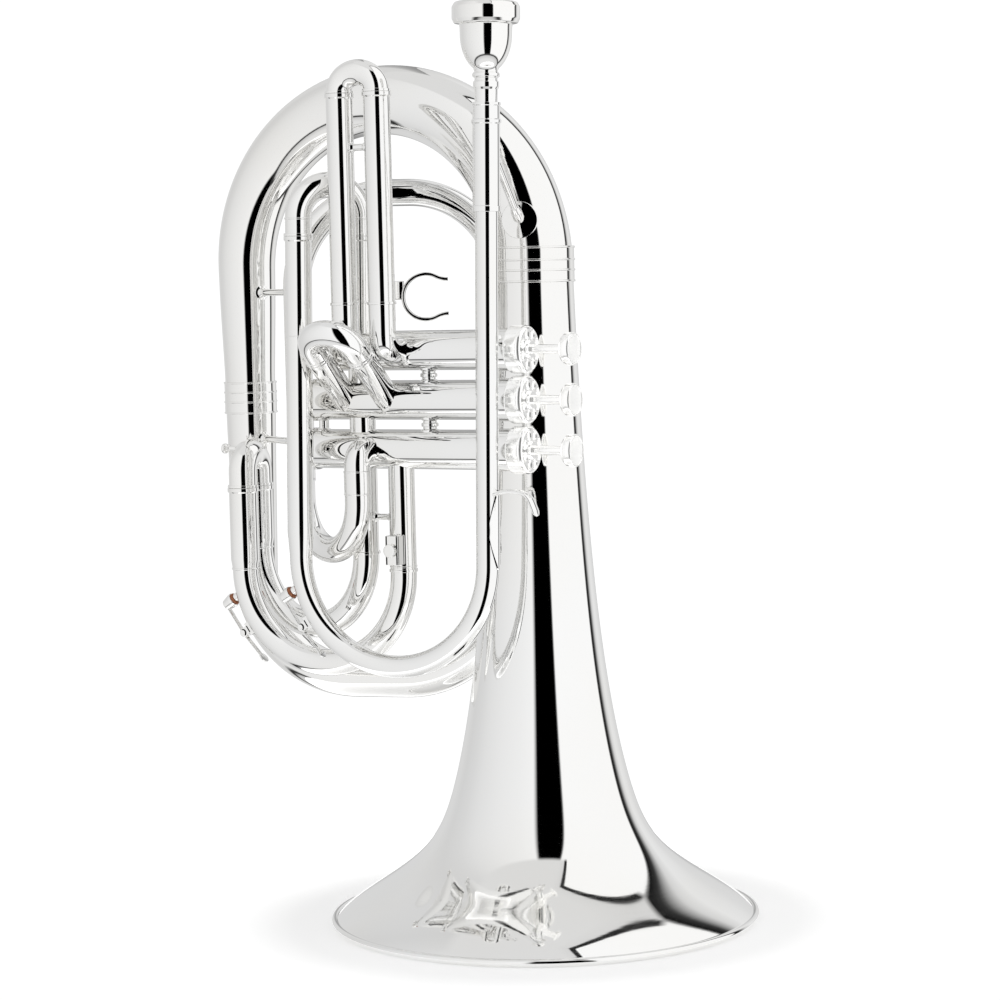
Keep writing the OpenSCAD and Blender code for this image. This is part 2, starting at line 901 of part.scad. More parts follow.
function axis_z(i) = valve_z + (i - 1) * valve_pitch;

// Puts its children at valve i, counted from the bottom, with local +Z along +X
module at_valve(i) {
    translate([0, valve_y, axis_z(i)])
        rotate([0, 90, 0])
            children();
}

// Solid outline of casing i, used to shape the tubes that meet it
module casing_body(i) {
    at_valve(i)
        translate([0, 0, casing_x0])
            cylinder(d = casing_d, h = casing_x1 - casing_x0);
}

// Cross hole for the air, from the axis of casing i at x, turned by about towards local +Z
module port(x, i, about = [0, 0, 0], d = 13) {
    translate([x, valve_y, axis_z(i)])
        rotate(about)
            cylinder(d = d, h = casing_d);
}

module casing(i) {
    sleeve_h = 16;
    down = [180, 0, 0];
    forward = [90, 0, 0];
    color(silver)
        difference() {
            union() {
                casing_body(i);
                at_valve(i)
                    translate([0, 0, casing_x1 - sleeve_h])
                        cylinder(d = casing_d + 1.6, h = sleeve_h);
            }
            at_valve(i)
                translate([0, 0, casing_x0 - eps])
                    cylinder(d = casing_bore, h = casing_x1 - casing_x0 + 2 * eps);
            // Ports up and down, to the neighbouring casings, the inlet and the third slide
            port(third_out.x, i);
            port(third_out.x, i, down);
            if (i == 1) {
                port(third_in.x, i, down);
                port(drop.x, i, forward);
            }
            if (i == 3)
                for (p = [first_left, first_right])
                    port(p.x, i, forward);
            if (i == 2)
                second_frame()
                    for (x = [-second_r, second_r])
                        translate([x, 0, 0])
                            cylinder(d = 13, h = casing_d);
        }
}

module casing_links() {
    stay_x = -43.3;
    end_stay_x = -114.6;
    color(silver)
        difference() {
            for (i = [1 : 2]) {
                // Knuckle tube that carries the air from one valve to the next
                translate([third_out.x, valve_y, axis_z(i)])
                    tube(outer_d, tube_wall, valve_pitch);
                translate([stay_x, valve_y, axis_z(i)])
                    cylinder(d = 8, h = valve_pitch);
                translate([stay_x, valve_y, axis_z(i) + valve_pitch / 2 - 1])
                    cylinder(d = 10, h = 2);
                translate([end_stay_x, valve_y, axis_z(i)])
                    cylinder(d = 6, h = valve_pitch);
            }
            for (i = [1 : 3])
                casing_body(i);
        }
    // Stay from the upper casing to the leadpipe
    color(silver)
        difference() {
            translate([7, pipe_y, axis_z(3) + 6])
                rotate([-90, 0, 0])
                    cylinder(d = 4.4, h = valve_y - pipe_y);
            casing_body(3);
            at_valve(3)
                translate([0, 0, casing_x1 - 16])
                    cylinder(d = casing_d + 1.6, h = 16);
            leaning()
                post([pipe_x, pipe_y], 320, 370, leadpipe_d);
        }
}

module top_cap(i) {
    dimples = 8;
    color(bright)
        at_valve(i)
            difference() {
                union() {
                    translate([0, 0, casing_x1])
                        cylinder(d = cap_d, h = cap_x1 - casing_x1 - 2);
                    translate([0, 0, cap_x1 - 2])
                        cylinder(d1 = cap_d, d2 = cap_d - 3, h = 2);
                    translate([0, 0, cap_x1])
                        cylinder(d = 11, h = 1.6);
                }
                translate([0, 0, casing_x1 - eps])
                    cylinder(d = casing_bore, h = cap_x1 - casing_x1 - 4 + eps);
                translate([0, 0, casing_x1])
                    cylinder(d = stem_d + 0.2, h = 20);
                for (k = [0 : dimples - 1])
                    rotate([0, 0, 360 * (k + 0.5) / dimples])
                        translate([9.1, 0, cap_x1 + 1.6])
                            sphere(d = 5.4, $fn = 32);
            }
}

module bottom_cap(i) {
    color(bright)
        at_valve(i)
            difference() {
                union() {
                    translate([0, 0, bottom_cap_x0 + 2])
                        cylinder(d = casing_d + 1.8, h = casing_x0 - bottom_cap_x0 - 2);
                    translate([0, 0, bottom_cap_x0])
                        cylinder(d1 = casing_d - 3, d2 = casing_d + 1.8, h = 2);
                    translate([0, 0, casing_x0])
                        cylinder(d = casing_bore - 0.2, h = 2);
                }
                translate([0, 0, bottom_cap_x0 - eps])
                    cylinder(d = 5, h = 14);
                translate([0, 0, bottom_cap_x0 + 3])
                    cylinder(d = casing_bore - 4, h = 12);
            }
}

// Helical return spring between the bottom cap and the piston
module valve_spring(i) {
    turns = 5;
    per_turn = 14;
    sides = 6;
    wire = 1;
    coil_r = 7.6;
    length = piston_x0 + spring_pocket - spring_seat - 1.4;
    count = turns * per_turn;
    function wire_point(k, s) = let (a = 360 * k / per_turn, w = 360 * s / sides)
        [(coil_r + wire / 2 * cos(w)) * cos(a), (coil_r + wire / 2 * cos(w)) * sin(a),
         length * k / count + wire / 2 * sin(w)];
    function at(k, s) = k * sides + s % sides;
    points = [for (k = [0 : count], s = [0 : sides - 1]) wire_point(k, s)];
    faces = concat(
        [[for (s = [0 : sides - 1]) at(0, s)]],
        [for (k = [0 : count - 1], s = [0 : sides - 1]) [at(k, s), at(k + 1, s), at(k + 1, s + 1)]],
        [for (k = [0 : count - 1], s = [0 : sides - 1]) [at(k, s), at(k + 1, s + 1), at(k, s + 1)]],
        [[for (s = [sides - 1 : -1 : 0]) at(count, s)]]
    );
    color([0.7, 0.68, 0.62])
        at_valve(i)
            translate([0, 0, spring_seat + 0.7])
                polyhedron(points = points, faces = faces, convexity = 10);
}

module piston(i) {
    d = casing_bore - 2 * piston_gap;
    port_d = 12.4;
    color([0.8, 0.8, 0.82])
        difference() {
            at_valve(i)
                translate([0, 0, piston_x0])
                    cylinder(d = d, h = piston_len);
            at_valve(i)
                translate([0, 0, piston_x0 - eps])
                    cylinder(d = d - 3, h = spring_pocket + eps);
            // Air ways: straight through, and two crossings used when the valve is down
            translate([third_out.x + travel / 2, valve_y, axis_z(i)])
                cylinder(d = port_d, h = 30, center = true);
            for (x = [third_in.x, -42])
                translate([x, valve_y, axis_z(i)])
                    rotate([90, 0, 0])
                        cylinder(d = port_d, h = 30, center = true);
        }
}

module button(i) {
    back_h = 2.4;
    color(bright)
        at_valve(i)
            difference() {
                union() {
                    translate([0, 0, piston_x1 + 0.05])
                        cylinder(d = 9, h = 3);
                    translate([0, 0, piston_x1 + 0.05])
                        cylinder(d = stem_d, h = button_x - piston_x1);
                    translate([0, 0, button_x - back_h - 2])
                        cylinder(d1 = stem_d, d2 = 9, h = 2);
                    translate([0, 0, button_x - back_h])
                        cylinder(d1 = 9, d2 = button_d, h = back_h);
                    translate([0, 0, button_x])
                        cylinder(d = button_d, h = button_h - 1.4);
                    translate([0, 0, button_x + button_h - 1.4])
                        cylinder(d1 = button_d, d2 = button_d - 2.8, h = 1.4);
                }
                translate([0, 0, button_x + button_h + 18.6])
                    sphere(r = 20, $fn = 96);
            }
}

// ---------------------------------------------------------------- water keys

key_reach = 21;
key_lift = 4.5;
key_w = 6;

// Frame on the outside of a bow: local +X points away from the bow's centre,
// +Y runs along the bow towards the touch
module key_frame(k) {
    if (k == 1)
        translate([(third_left.x + third_in.x) / 2, third_in.y, third_bow_z])
            rotate([90, 0, 0])
                rotate([0, 0, 215])
                    children();
    else
        leaning()
            translate([pipe_mid_x, pipe_y, pipe_bow_z])
                rotate([90, 0, 0])
                    rotate([0, 0, 215])
                        children();
}

function bow_r(k) = k == 1 ? span(third_left, third_in) / 2 : leadpipe_bow_r;
function bow_d(k) = k == 1 ? outer_d : leadpipe_d;
function skin_r(k) = bow_r(k) + bow_d(k) / 2;
function pivot_r(k) = skin_r(k) + key_lift;
function nipple_r(k) = sqrt(pow(skin_r(k), 2) - pow(key_reach, 2)) + 2.6;

// Outside of the bow in a key's own frame, used to shape the parts that sit on it
module bow_skin(k) {
    rotate([0, 0, -60])
        rotate_extrude(angle = 120, $fn = 240)
            translate([bow_r(k), 0])
                circle(d = bow_d(k), $fn = 96);
}

module key_mount(k) {
    ear_t = 1.2;
    ear_gap = key_w + 0.6;
    plate_w = ear_gap + 2 * ear_t;
    color(bright)
        key_frame(k) {
            difference() {
                union() {
                    // Base plate with two ears
                    translate([skin_r(k) - 2.4, -4, -plate_w / 2])
                        cube([3.6, 8, plate_w]);
                    for (z = [-plate_w / 2, ear_gap / 2])
                        translate([skin_r(k), 0, z]) {
                            translate([0, -2.5, 0])
                                cube([key_lift, 5, ear_t]);
                            translate([key_lift, 0, 0])
                                cylinder(d = 5, h = ear_t);
                        }
                    // Hinge pin with its head
                    translate([pivot_r(k), 0, -plate_w / 2 - 0.8])
                        cylinder(d = 2, h = plate_w + 0.8);
                    translate([pivot_r(k), 0, plate_w / 2])
                        cylinder(d = 3.4, h = 1);
                }
                bow_skin(k);
            }
            // Nipple that the cork closes
            difference() {
                translate([nipple_r(k) - 6, -key_reach, 0])
                    rotate([0, 90, 0])
                        difference() {
                            cylinder(d = 5.2, h = 6);
                            translate([0, 0, -eps])
                                cylinder(d = 3, h = 6 + 2 * eps);
                        }
                bow_skin(k);
            }
        }
}

module water_key(k) {
    plate_t = 1.4;
    touch_y = 19;
    tail_bend = 8;
    cup_x = nipple_r(k) + 1.4;
    plate_x = pivot_r(k) + 1.6;
    color(bright)
        key_frame(k)
            difference() {
                union() {
                    translate([pivot_r(k), 0, -key_w / 2])
                        cylinder(d = 4.6, h = key_w);
                    translate([plate_x, -key_reach, -1.8])
                        cube([plate_t, key_reach, 3.6]);
                    // Cup over the cork
                    translate([cup_x, -key_reach, 0])
                        rotate([0, 90, 0])
                            cylinder(d = 8.4, h = plate_x + plate_t - cup_x);
                    // Tail and touch for the finger, bent towards the bow
                    translate([plate_x, 0, 0])
                        rotate([0, 0, tail_bend]) {
                            translate([0, 0, -1.8])
                                cube([plate_t, touch_y, 3.6]);
                            translate([0, touch_y, 0])
                                rotate([0, 90, 0])
                                    cylinder(d = 6.6, h = plate_t);
                        }
                }
                translate([pivot_r(k), 0, -key_w])
                    cylinder(d = 2.12, h = 2 * key_w);
                translate([cup_x - eps, -key_reach, 0])
                    rotate([0, 90, 0])
                        cylinder(d = 7, h = 1.6 + eps);
            }
}

module key_cork(k) {
    cork_h = 2.95;
    color([0.55, 0.3, 0.2])
        key_frame(k)
            translate([nipple_r(k) + 0.05, -key_reach, 0])
                rotate([0, 90, 0])
                    cylinder(d = 7, h = cork_h);
}

// ---------------------------------------------------------------- mouthpiece

module mouthpiece() {
    top = mouthpiece_top;
    rim_r = mouthpiece_d / 2;
    tip_z = receiver_top_z - 20;
    // Outside from the tip upwards, then the cup back down to the throat
    shank = [[5.85, tip_z], [6.37, receiver_top_z], [6.6, 485]];
    beads = [
        [7.3, 486], [7.3, 489], [6.5, 490], [6.5, 490.5],
        [7.7, 491.5], [7.7, 493.4], [6.5, 494.6]
    ];
    cup = [for (a = [30 : 12 : 90]) [14.5 * sin(a), 515 - 21.5 * cos(a)]];
    rim = [
        [14.9, 521], [rim_r - 0.6, 521.6], [rim_r, 523],
        [rim_r, top - 2.6], [rim_r - 1, top - 0.9], [rim_r - 3, top]
    ];
    bowl = [
        [14.2, top - 0.4], [12.9, top - 2.4], [12.7, 520], [12.2, 514],
        [10.6, 506.5], [7.4, 500.5], [3.6, 497.5]
    ];
    throat = [[3.3, 493], [3.3, 488], [4.6, tip_z]];
    color(bright)
        leaning()
            translate([pipe_x, pipe_y, 0])
                rotate_extrude($fn = 96)
                    polygon(concat(shank, beads, cup, rim, bowl, throat));
}

// ---------------------------------------------------------------- assembly

bell_flare();
bell_stem();
bell_ferrule();
top_bow();
branch_ferrule();
bottom_bow();
rear_ferrule();
inner_bow();
small_bow();
small_bow_ferrule();
valve_elbow();
braces();
receiver();
leadpipe();
leadpipe_bow();
tuning_tube();
tuning_inlet();
bell_brace();
finger_hook();
thumb_hook();
lyre_socket();
lyre_screw();
first_slide_tubes();
second_slide_tubes();
third_slide_loop();
third_slide_return();
casing_links();
for (i = [1 : 3]) {
    casing(i);
    top_cap(i);
    bottom_cap(i);
    valve_spring(i);
    piston(i);
    button(i);
}
tuning_slide();
first_slide();
second_slide();
third_slide();
for (k = [1 : 2]) {
    key_mount(k);
    water_key(k);
    key_cork(k);
}
mouthpiece();
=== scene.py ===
import math

import bmesh
import bpy
from mathutils import Matrix, Vector


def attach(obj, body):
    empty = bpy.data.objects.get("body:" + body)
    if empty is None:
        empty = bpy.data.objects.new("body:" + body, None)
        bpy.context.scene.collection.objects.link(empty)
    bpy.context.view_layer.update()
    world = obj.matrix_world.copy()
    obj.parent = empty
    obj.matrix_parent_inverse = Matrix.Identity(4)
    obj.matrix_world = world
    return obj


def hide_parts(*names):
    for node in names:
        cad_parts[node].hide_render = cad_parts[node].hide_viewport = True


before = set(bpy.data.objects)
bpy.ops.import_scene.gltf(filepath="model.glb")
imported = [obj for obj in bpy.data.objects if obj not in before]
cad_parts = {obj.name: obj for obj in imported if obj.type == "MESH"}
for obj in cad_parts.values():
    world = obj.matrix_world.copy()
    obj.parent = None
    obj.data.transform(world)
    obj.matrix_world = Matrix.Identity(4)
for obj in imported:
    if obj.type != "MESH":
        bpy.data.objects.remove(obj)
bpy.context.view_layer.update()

# ------------------------------------------------------------------ sizes, in millimetres
MM = 0.001
UP = Vector((0, 0, 1))

# Bell and top bow
RIM_R = 127.0
BEAD_R = 2.3
BELL_WALL = 0.9
THROAT_R = 24.6
BELL_TOP = 386.0
BOW_R = 98.0
TOP_BOW_Z = 388.0

# The other bows: the height of the joint, radii, and where the legs stand in plan
JOINT_Z = 309.0
BRANCH_R = 15.2
BRANCH = (-196.0, 0.0)
REAR = (-36.0, 32.0)
INNER = (-133.4, -43.9)
DROP = (-79.9, -70.0)
INNER_R = 8.0
SMALL_R = 7.6

# Leadpipe and tuning slide, which lean together
PIPE = (5.3, -75.0)
PIPE_R = 6.5
PIPE_BOW_R = 61.55
LEAN_Z = 157.0
PIPE_BOW_Z = LEAN_Z + PIPE_BOW_R
PIPE_MID = PIPE[0] - PIPE_BOW_R
PIPE_LEFT = (PIPE[0] - 2 * PIPE_BOW_R, PIPE[1])
INLET = (-92.4, -48.0)
LEAN = math.radians(1.3)

# Slides of the valves: outer tubes, the legs inside them, and where they stand
OUTER_R = 7.7
THIRD_R = 8.6
LEG_R = 6.95
THIRD_LEG_R = 7.85
FIRST = ((-82.9, -74.0), (-58.3, -74.0))
FIRST_TOP = 485.5
SECOND_X = (-95.3, -67.5)
SECOND_LEN = 45.0
SECOND_TILT = math.radians(40.5)
SECOND_DROP = 3.5
SECOND_GRIP = 7.0
THIRD_IN = (-63.2, -48.0)
THIRD_LEFT = (-172.5, -48.0)
THIRD_OUT = (-88.2, -48.0)
THIRD_BACK = (-175.0, -27.0)
THIRD_TOP = 256.8

# Casings along X, counted from the lowest, and how near their axes the tubes end
VALVE_Y = -48.0
VALVE_Z = (280.7, 309.35, 338.0)
CASING_R = 11.5
CASING_FOOT = CASING_R - 0.7
CASING_IN = 9.0
CASING_X = (-118.0, 12.0)
CASING_END = -124.4
CAP_X = 22.5
BUTTON_X = 46.5

# A lathed solid stops this far from its axis, and a small flat closes it
AXIS = 0.01


# ------------------------------------------------------------------ paths
def at(plan, z):
    """The point at height z above a place in plan."""
    return Vector((plan[0], plan[1], z))


def route(corners, radii, step=4.0, spacing=0.0):
    """Points and tangents of a line through the corners, each rounded to its radius.

    step is the angle between points on a bend, and spacing the most between points on a straight."""
    corners = [Vector(c) for c in corners]
    path = []

    def add(point, tangent):
        if not path or (path[-1][0] - point).length > 1e-4:
            path.append((point, tangent.normalized()))

    def straight(p, q):
        length = (q - p).length
        count = max(1, math.ceil(length / spacing)) if spacing else 1
        for i in range(count + 1):
            add(p.lerp(q, i / count), q - p)

    start = corners[0]
    for i in range(1, len(corners) - 1):
        before = (corners[i] - corners[i - 1]).normalized()
        after = (corners[i + 1] - corners[i]).normalized()
        turn = before.angle(after)
        back = radii[i - 1] * math.tan(turn / 2)
        first = corners[i] - before * back
        if (first - start).length > 1e-4:
            straight(start, first)
        inward = (after - before * before.dot(after)).normalized()
        centre = first + inward * radii[i - 1]
        count = max(2, math.ceil(math.degrees(turn) / step))
        for k in range(count + 1):
            a = turn * k / count
            point = centre - inward * radii[i - 1] * math.cos(a) + before * radii[i - 1] * math.sin(a)
            add(point, before * math.cos(a) + inward * math.sin(a))
        start = corners[i] + after * back
    if (corners[-1] - start).length > 1e-4:
        straight(start, corners[-1])
    return path


def distances(path):
    """How far along the path each of its points lies."""
    total, out = 0.0, [0.0]
    for (p, _), (q, _) in zip(path, path[1:]):
        total += (q - p).length
        out.append(total)
    return out


def taper(stations):
    """A radius that runs smoothly through (distance, radius) stations."""
    def radius(s):
        if s <= stations[0][0]:
            return stations[0][1]
        for (s0, r0), (s1, r1) in zip(stations, stations[1:]):
            if s <= s1:
                t = (s - s0) / (s1 - s0)
                return r0 + (r1 - r0) * t
        return stations[-1][1]

    def smooth(s, width=9.0):
        samples = [radius(s + width * k / 4) for k in range(-4, 5)]
        return sum(samples) / len(samples)

    return smooth


# ------------------------------------------------------------------ shapes, as (vertices, faces)
def placed(shape, matrix):
    verts, faces = shape
    return [matrix @ v for v in verts], faces


def frame_at(origin, axis, toward=None):
    """Matrix with local +Z along axis, and local +X as near to toward as it can be."""
    z = Vector(axis).normalized()
    x = Vector(toward) if toward is not None else Vector((1, 0, 0))
    if abs(x.normalized().dot(z)) > 0.99:
        x = Vector((0, 1, 0))
    x = (x - z * x.dot(z)).normalized()
    y = z.cross(x)
    m = Matrix((x, y, z)).transposed().to_4x4()
    m.translation = Vector(origin)
    return m


def skin(rings, loop=False):
    """Faces between rings of points, all with the same count. A loop joins the last ring to the first."""
    n = len(rings[0])
    verts = [v for ring in rings for v in ring]
    faces = []
    count = len(rings)
    for i in range(count if loop else count - 1):
        a, b = i * n, ((i + 1) % count) * n
        for k in range(n):
            faces.append((a + k, a + (k + 1) % n, b + (k + 1) % n, b + k))
    if not loop:
        faces.append(tuple(range(n - 1, -1, -1)))
        faces.append(tuple((count - 1) * n + k for k in range(n)))
    return verts, faces


def transported(path, toward):
    """A normal and a binormal at each point of a path, turned no more than the path turns."""
    tangent = path[0][1]
    normal = Vector(toward)
    normal = (normal - tangent * normal.dot(tangent)).normalized()
    out = []
    for _, t in path:
        normal = (normal - t * normal.dot(t)).normalized()
        out.append((normal, t.cross(normal)))
    return out


def swept(path, section, toward=(0, 1, 0)):
    """A section, as (normal, binormal) pairs or a function of distance and place, along a path."""
    dist = distances(path)
    rings = []
    for (p, _), (n, b), s in zip(path, transported(path, toward), dist):
        pairs = section(s) if callable(section) else section
        rings.append([p + n * u + b * v for u, v in pairs])
    return skin(rings)


def oval(a, b, sides):
    """Points round an ellipse with half-axes a and b."""
    angles = [2 * math.pi * k / sides for k in range(sides)]
    return [(a * math.cos(t), b * math.sin(t)) for t in angles]


def circle(r, sides=40):
    return oval(r, r, sides)


def tube(path, r, sides=40):
    """A closed round tube along a path. r is its radius, or gives it for a distance along the path."""
    section = (lambda s: circle(r(s), sides)) if callable(r) else circle(r, sides)
    return swept(path, section)


def rounded_box_section(w, h, r, steps=3):
    """Outline of a strip w by h with rounded corners, for swept."""
    out = []
    for cx, cy, a0 in ((w / 2 - r, h / 2 - r, 0), (r - w / 2, h / 2 - r, 90),
                       (r - w / 2, r - h / 2, 180), (w / 2 - r, r - h / 2, 270)):
        for k in range(steps + 1):
            a = math.radians(a0 + 90 * k / steps)
            out.append((cx + r * math.cos(a), cy + r * math.sin(a)))
    return out


def rounded(profile, r=0.35, steps=3, closed=False):
    """A profile of (radius, height) points with its corners rounded. A point may carry its own radius."""
    n = len(profile)
    out = []
    for i, point in enumerate(profile):
        p = Vector(point[:2])
        if not closed and i in (0, n - 1):
            out.append(p)
            continue
        a, b = Vector(profile[i - 1][:2]) - p, Vector(profile[(i + 1) % n][:2]) - p
        want = point[2] if len(point) > 2 else r
        angle = a.angle(b) if a.length and b.length else math.pi
        if want <= 0 or angle > math.radians(172):
            out.append(p)
            continue
        back = min(want / math.tan(angle / 2), 0.45 * a.length, 0.45 * b.length)
        p0, p1 = p + a.normalized() * back, p + b.normalized() * back
        for k in range(steps + 1):
            t = k / steps
            out.append(p0 * (1 - t) ** 2 + p * 2 * t * (1 - t) + p1 * t ** 2)
    return [(q.x, q.y) for q in out]


def turned(profile, n=64, closed=False, shape=None):
    """A lathed form about local +Z. shape may move a point, given its radius, height and angle."""
    rings = []
    for r, z in profile:
        ring = []
        for k in range(n):
            a = 2 * math.pi * k / n
            rr, zz = shape(r, z, a) if shape else (r, z)
            ring.append(Vector((rr * math.cos(a), rr * math.sin(a), zz)))
        rings.append(ring)
    return skin(rings, loop=closed)


def lathed(profile, soft, n, bored=False, shape=None):
    """A turned form with its corners rounded. A bored one is a ring, whose profile closes on itself."""
    return turned(rounded(profile, soft, closed=bored), n, bored, shape)


def band(r_in, r_out, z0, z1, soft=0.3, n=64):
    """A plain ring round a tube, from z0 to z1."""
    return lathed([(r_in, z0), (r_out, z0), (r_out, z1), (r_in, z1)], soft, n, True)


def bead(r, z, width, proud, n=64):
    """A half-round ring round a tube of radius r, centred at z."""
    arc = [(r - 0.2, z - width / 2)]
    for k in range(9):
        a = math.pi * k / 8
        arc.append((r + proud * math.sin(a), z - width / 2 * math.cos(a)))
    arc.append((r - 0.2, z + width / 2))
    return turned(arc, n, closed=True)


def block(size, soft, steps=3):
    """A box with rounded edges, centred on the origin."""
    bm = bmesh.new()
    bmesh.ops.create_cube(bm, size=1)
    bmesh.ops.scale(bm, vec=size, verts=bm.verts)
    bmesh.ops.bevel(bm, geom=bm.edges[:] + bm.verts[:], offset=soft, segments=steps, profile=0.5,
                    affect="EDGES")
    bm.verts.ensure_lookup_table()
    shape = [v.co.copy() for v in bm.verts], [tuple(v.index for v in f.verts) for f in bm.faces]
    bm.free()
    return shape


def move(shape, x=0.0, y=0.0, z=0.0):
    return placed(shape, Matrix.Translation((x, y, z)))


def joined(shapes):
    """Several shapes as one."""
    verts, faces = [], []
    for v, f in shapes:
        base = len(verts)
        verts += v
        faces += [tuple(base + k for k in face) for face in f]
    return verts, faces


def leaned():
    """The slight lean of the leadpipe, its bow and the tuning slide, about the bow's foot."""
    about = Matrix.Translation((PIPE_MID, PIPE[1], LEAN_Z))
    return about @ Matrix.Rotation(LEAN, 4, "Y") @ about.inverted()


LEANING = leaned()


# ------------------------------------------------------------------ materials
def nodes_of(name):
    """A new material with its node tree and its shader."""
    material = bpy.data.materials.new(name)
    material.use_nodes = True
    tree = material.node_tree
    return material, tree, tree.nodes["Principled BSDF"]


def link(tree, a, b):
    tree.links.new(a, b)


def noise(tree, scale, detail, stretch=(1, 1, 1)):
    """Noise in the object's own space, stretched along its axes."""
    coords = tree.nodes.new("ShaderNodeTexCoord")
    mapping = tree.nodes.new("ShaderNodeMapping")
    mapping.inputs["Scale"].default_value = stretch
    texture = tree.nodes.new("ShaderNodeTexNoise")
    texture.inputs["Scale"].default_value = scale
    texture.inputs["Detail"].default_value = detail
    link(tree, coords.outputs["Object"], mapping.inputs["Vector"])
    link(tree, mapping.outputs["Vector"], texture.inputs["Vector"])
    return texture


def ramp(tree, source, low, high, to_low, to_high):
    """A value taken from the range low to high into the range to_low to to_high."""
    node = tree.nodes.new("ShaderNodeMapRange")
    node.inputs["From Min"].default_value = low
    node.inputs["From Max"].default_value = high
    node.inputs["To Min"].default_value = to_low
    node.inputs["To Max"].default_value = to_high
    link(tree, source, node.inputs["Value"])
    return node.outputs["Result"]


def mixed(tree, factor, low, high):
    """A colour between low and high, each an (r, g, b) colour or another node's output."""
    node = tree.nodes.new("ShaderNodeMix")
    node.data_type = "RGBA"
    link(tree, factor, node.inputs[0])
    for socket, colour in ((node.inputs[6], low), (node.inputs[7], high)):
        if isinstance(colour, tuple):
            socket.default_value = (*colour, 1)
        else:
            link(tree, colour, socket)
    return node.outputs[2]


def bumped(tree, bsdf, height, strength, distance):
    """Relief on the shader's normal, from a height."""
    bump = tree.nodes.new("ShaderNodeBump")
    bump.inputs["Strength"].default_value = strength
    bump.inputs["Distance"].default_value = distance
    link(tree, height, bump.inputs["Height"])
    link(tree, bump.outputs["Normal"], bsdf.inputs["Normal"])


def plated(name, tint, smooth=0.025, worn=0.06):
    """Polished silver plate: clouds of faint haze, hairline scratches and a slight change of tint."""
    material, tree, bsdf = nodes_of(name)
    bsdf.inputs["Metallic"].default_value = 1.0
    haze = noise(tree, 9.0, 3.0)
    hair = noise(tree, 60.0, 6.0, (1, 1, 14))
    both = tree.nodes.new("ShaderNodeMath")
    both.operation = "MULTIPLY"
    link(tree, haze.outputs["Fac"], both.inputs[0])
    link(tree, hair.outputs["Fac"], both.inputs[1])
    link(tree, ramp(tree, both.outputs[0], 0.15, 0.45, smooth, worn), bsdf.inputs["Roughness"])
    warmer = (tint[0] * 0.985, tint[1] * 0.975, tint[2] * 0.955)
    clouds = ramp(tree, haze.outputs["Fac"], 0.4, 0.75, 0, 1)
    link(tree, mixed(tree, clouds, tint, warmer), bsdf.inputs["Base Color"])
    bumped(tree, bsdf, hair.outputs["Fac"], 0.02, 0.0002)
    return material


def dull(name, low, high, rough, metallic, scale, depth):
    """A surface with grain: cork pads, pearly inlays, spring wire and the lapped pistons."""
    material, tree, bsdf = nodes_of(name)
    bsdf.inputs["Metallic"].default_value = metallic
    grain = noise(tree, scale, 8.0)
    speckle = ramp(tree, grain.outputs["Fac"], 0.35, 0.65, 0, 1)
    link(tree, mixed(tree, speckle, low, high), bsdf.inputs["Base Color"])
    wear = ramp(tree, grain.outputs["Fac"], 0.3, 0.7, rough * 0.8, rough * 1.2)
    link(tree, wear, bsdf.inputs["Roughness"])
    bumped(tree, bsdf, grain.outputs["Fac"], depth, 0.0004)
    return material


SILVER = plated("silver_plate", (0.93, 0.93, 0.925))
BRIGHT = plated("bright_plate", (0.95, 0.95, 0.945), 0.03, 0.07)
SATIN_PAINTED_GLOW = plated("satin_plate_painted_glow", (0.97, 0.97, 0.965), 0.16, 0.24)
PEARL_PAINTED_GLOW = dull("pearl_inlay_painted_glow", (0.84, 0.84, 0.83), (0.95, 0.95, 0.93), 0.3, 0.0, 90.0, 0.02)
# Painted glow: a faint white emission makes the satin top caps and buttons and the pearl inlays paler than
# their own colour
for pale, glow in ((SATIN_PAINTED_GLOW, 0.16), (PEARL_PAINTED_GLOW, 0.24)):
    shader = pale.node_tree.nodes["Principled BSDF"]
    shader.inputs["Emission Color"].default_value = (1, 1, 0.99, 1)
    shader.inputs["Emission Strength"].default_value = glow
PISTON = dull("lapped_alloy", (0.62, 0.62, 0.63), (0.74, 0.74, 0.75), 0.22, 1.0, 260.0, 0.05)
WIRE = dull("spring_wire", (0.42, 0.4, 0.35), (0.6, 0.57, 0.5), 0.35, 1.0, 400.0, 0.2)
CORK = dull("cork_pad", (0.3, 0.1, 0.045), (0.5, 0.2, 0.1), 0.85, 0.0, 900.0, 0.6)


# ------------------------------------------------------------------ pieces
def piece(name, shapes, nodes, material, body="horn", matrix=None, sharp=50):
    """One mesh object from shapes in millimetres, which stands for the named CAD nodes."""
    verts, faces = joined(shapes)
    if matrix is not None:
        verts = [matrix @ v for v in verts]
    mesh = bpy.data.meshes.new(name)
    mesh.from_pydata([v * MM for v in verts], [], faces)
    bm = bmesh.new()
    bm.from_mesh(mesh)
    bmesh.ops.remove_doubles(bm, verts=bm.verts, dist=2e-6)
    bmesh.ops.recalc_face_normals(bm, faces=bm.faces)
    bm.to_mesh(mesh)
    bm.free()
    mesh.shade_smooth()
    mesh.set_sharp_from_angle(angle=math.radians(sharp))
    mesh.materials.append(material)
    obj = bpy.data.objects.new(name, mesh)
    bpy.context.scene.collection.objects.link(obj)
    weighted = obj.modifiers.new("weighted", "WEIGHTED_NORMAL")
    weighted.keep_sharp = True
    weighted.weight = 60
    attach(obj, body)
    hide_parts(*nodes)
    return obj


def upright(plan, z0, z1, r, sides=40):
    """A straight upright tube."""
    return tube([(at(plan, z0), UP), (at(plan, z1), UP)], r, sides)


def saddled(rings, onto):
    """A tube whose last ring, and the cap that closes it, are laid on a casing's round by onto."""
    edge = rings[-1]
    middle = sum(edge, Vector((0, 0, 0))) / len(edge)
    cap = [[onto(middle.lerp(v, share)) for v in edge] for share in (1, 0.7, 0.4, 0.1)]
    return skin(rings[:-1] + cap)


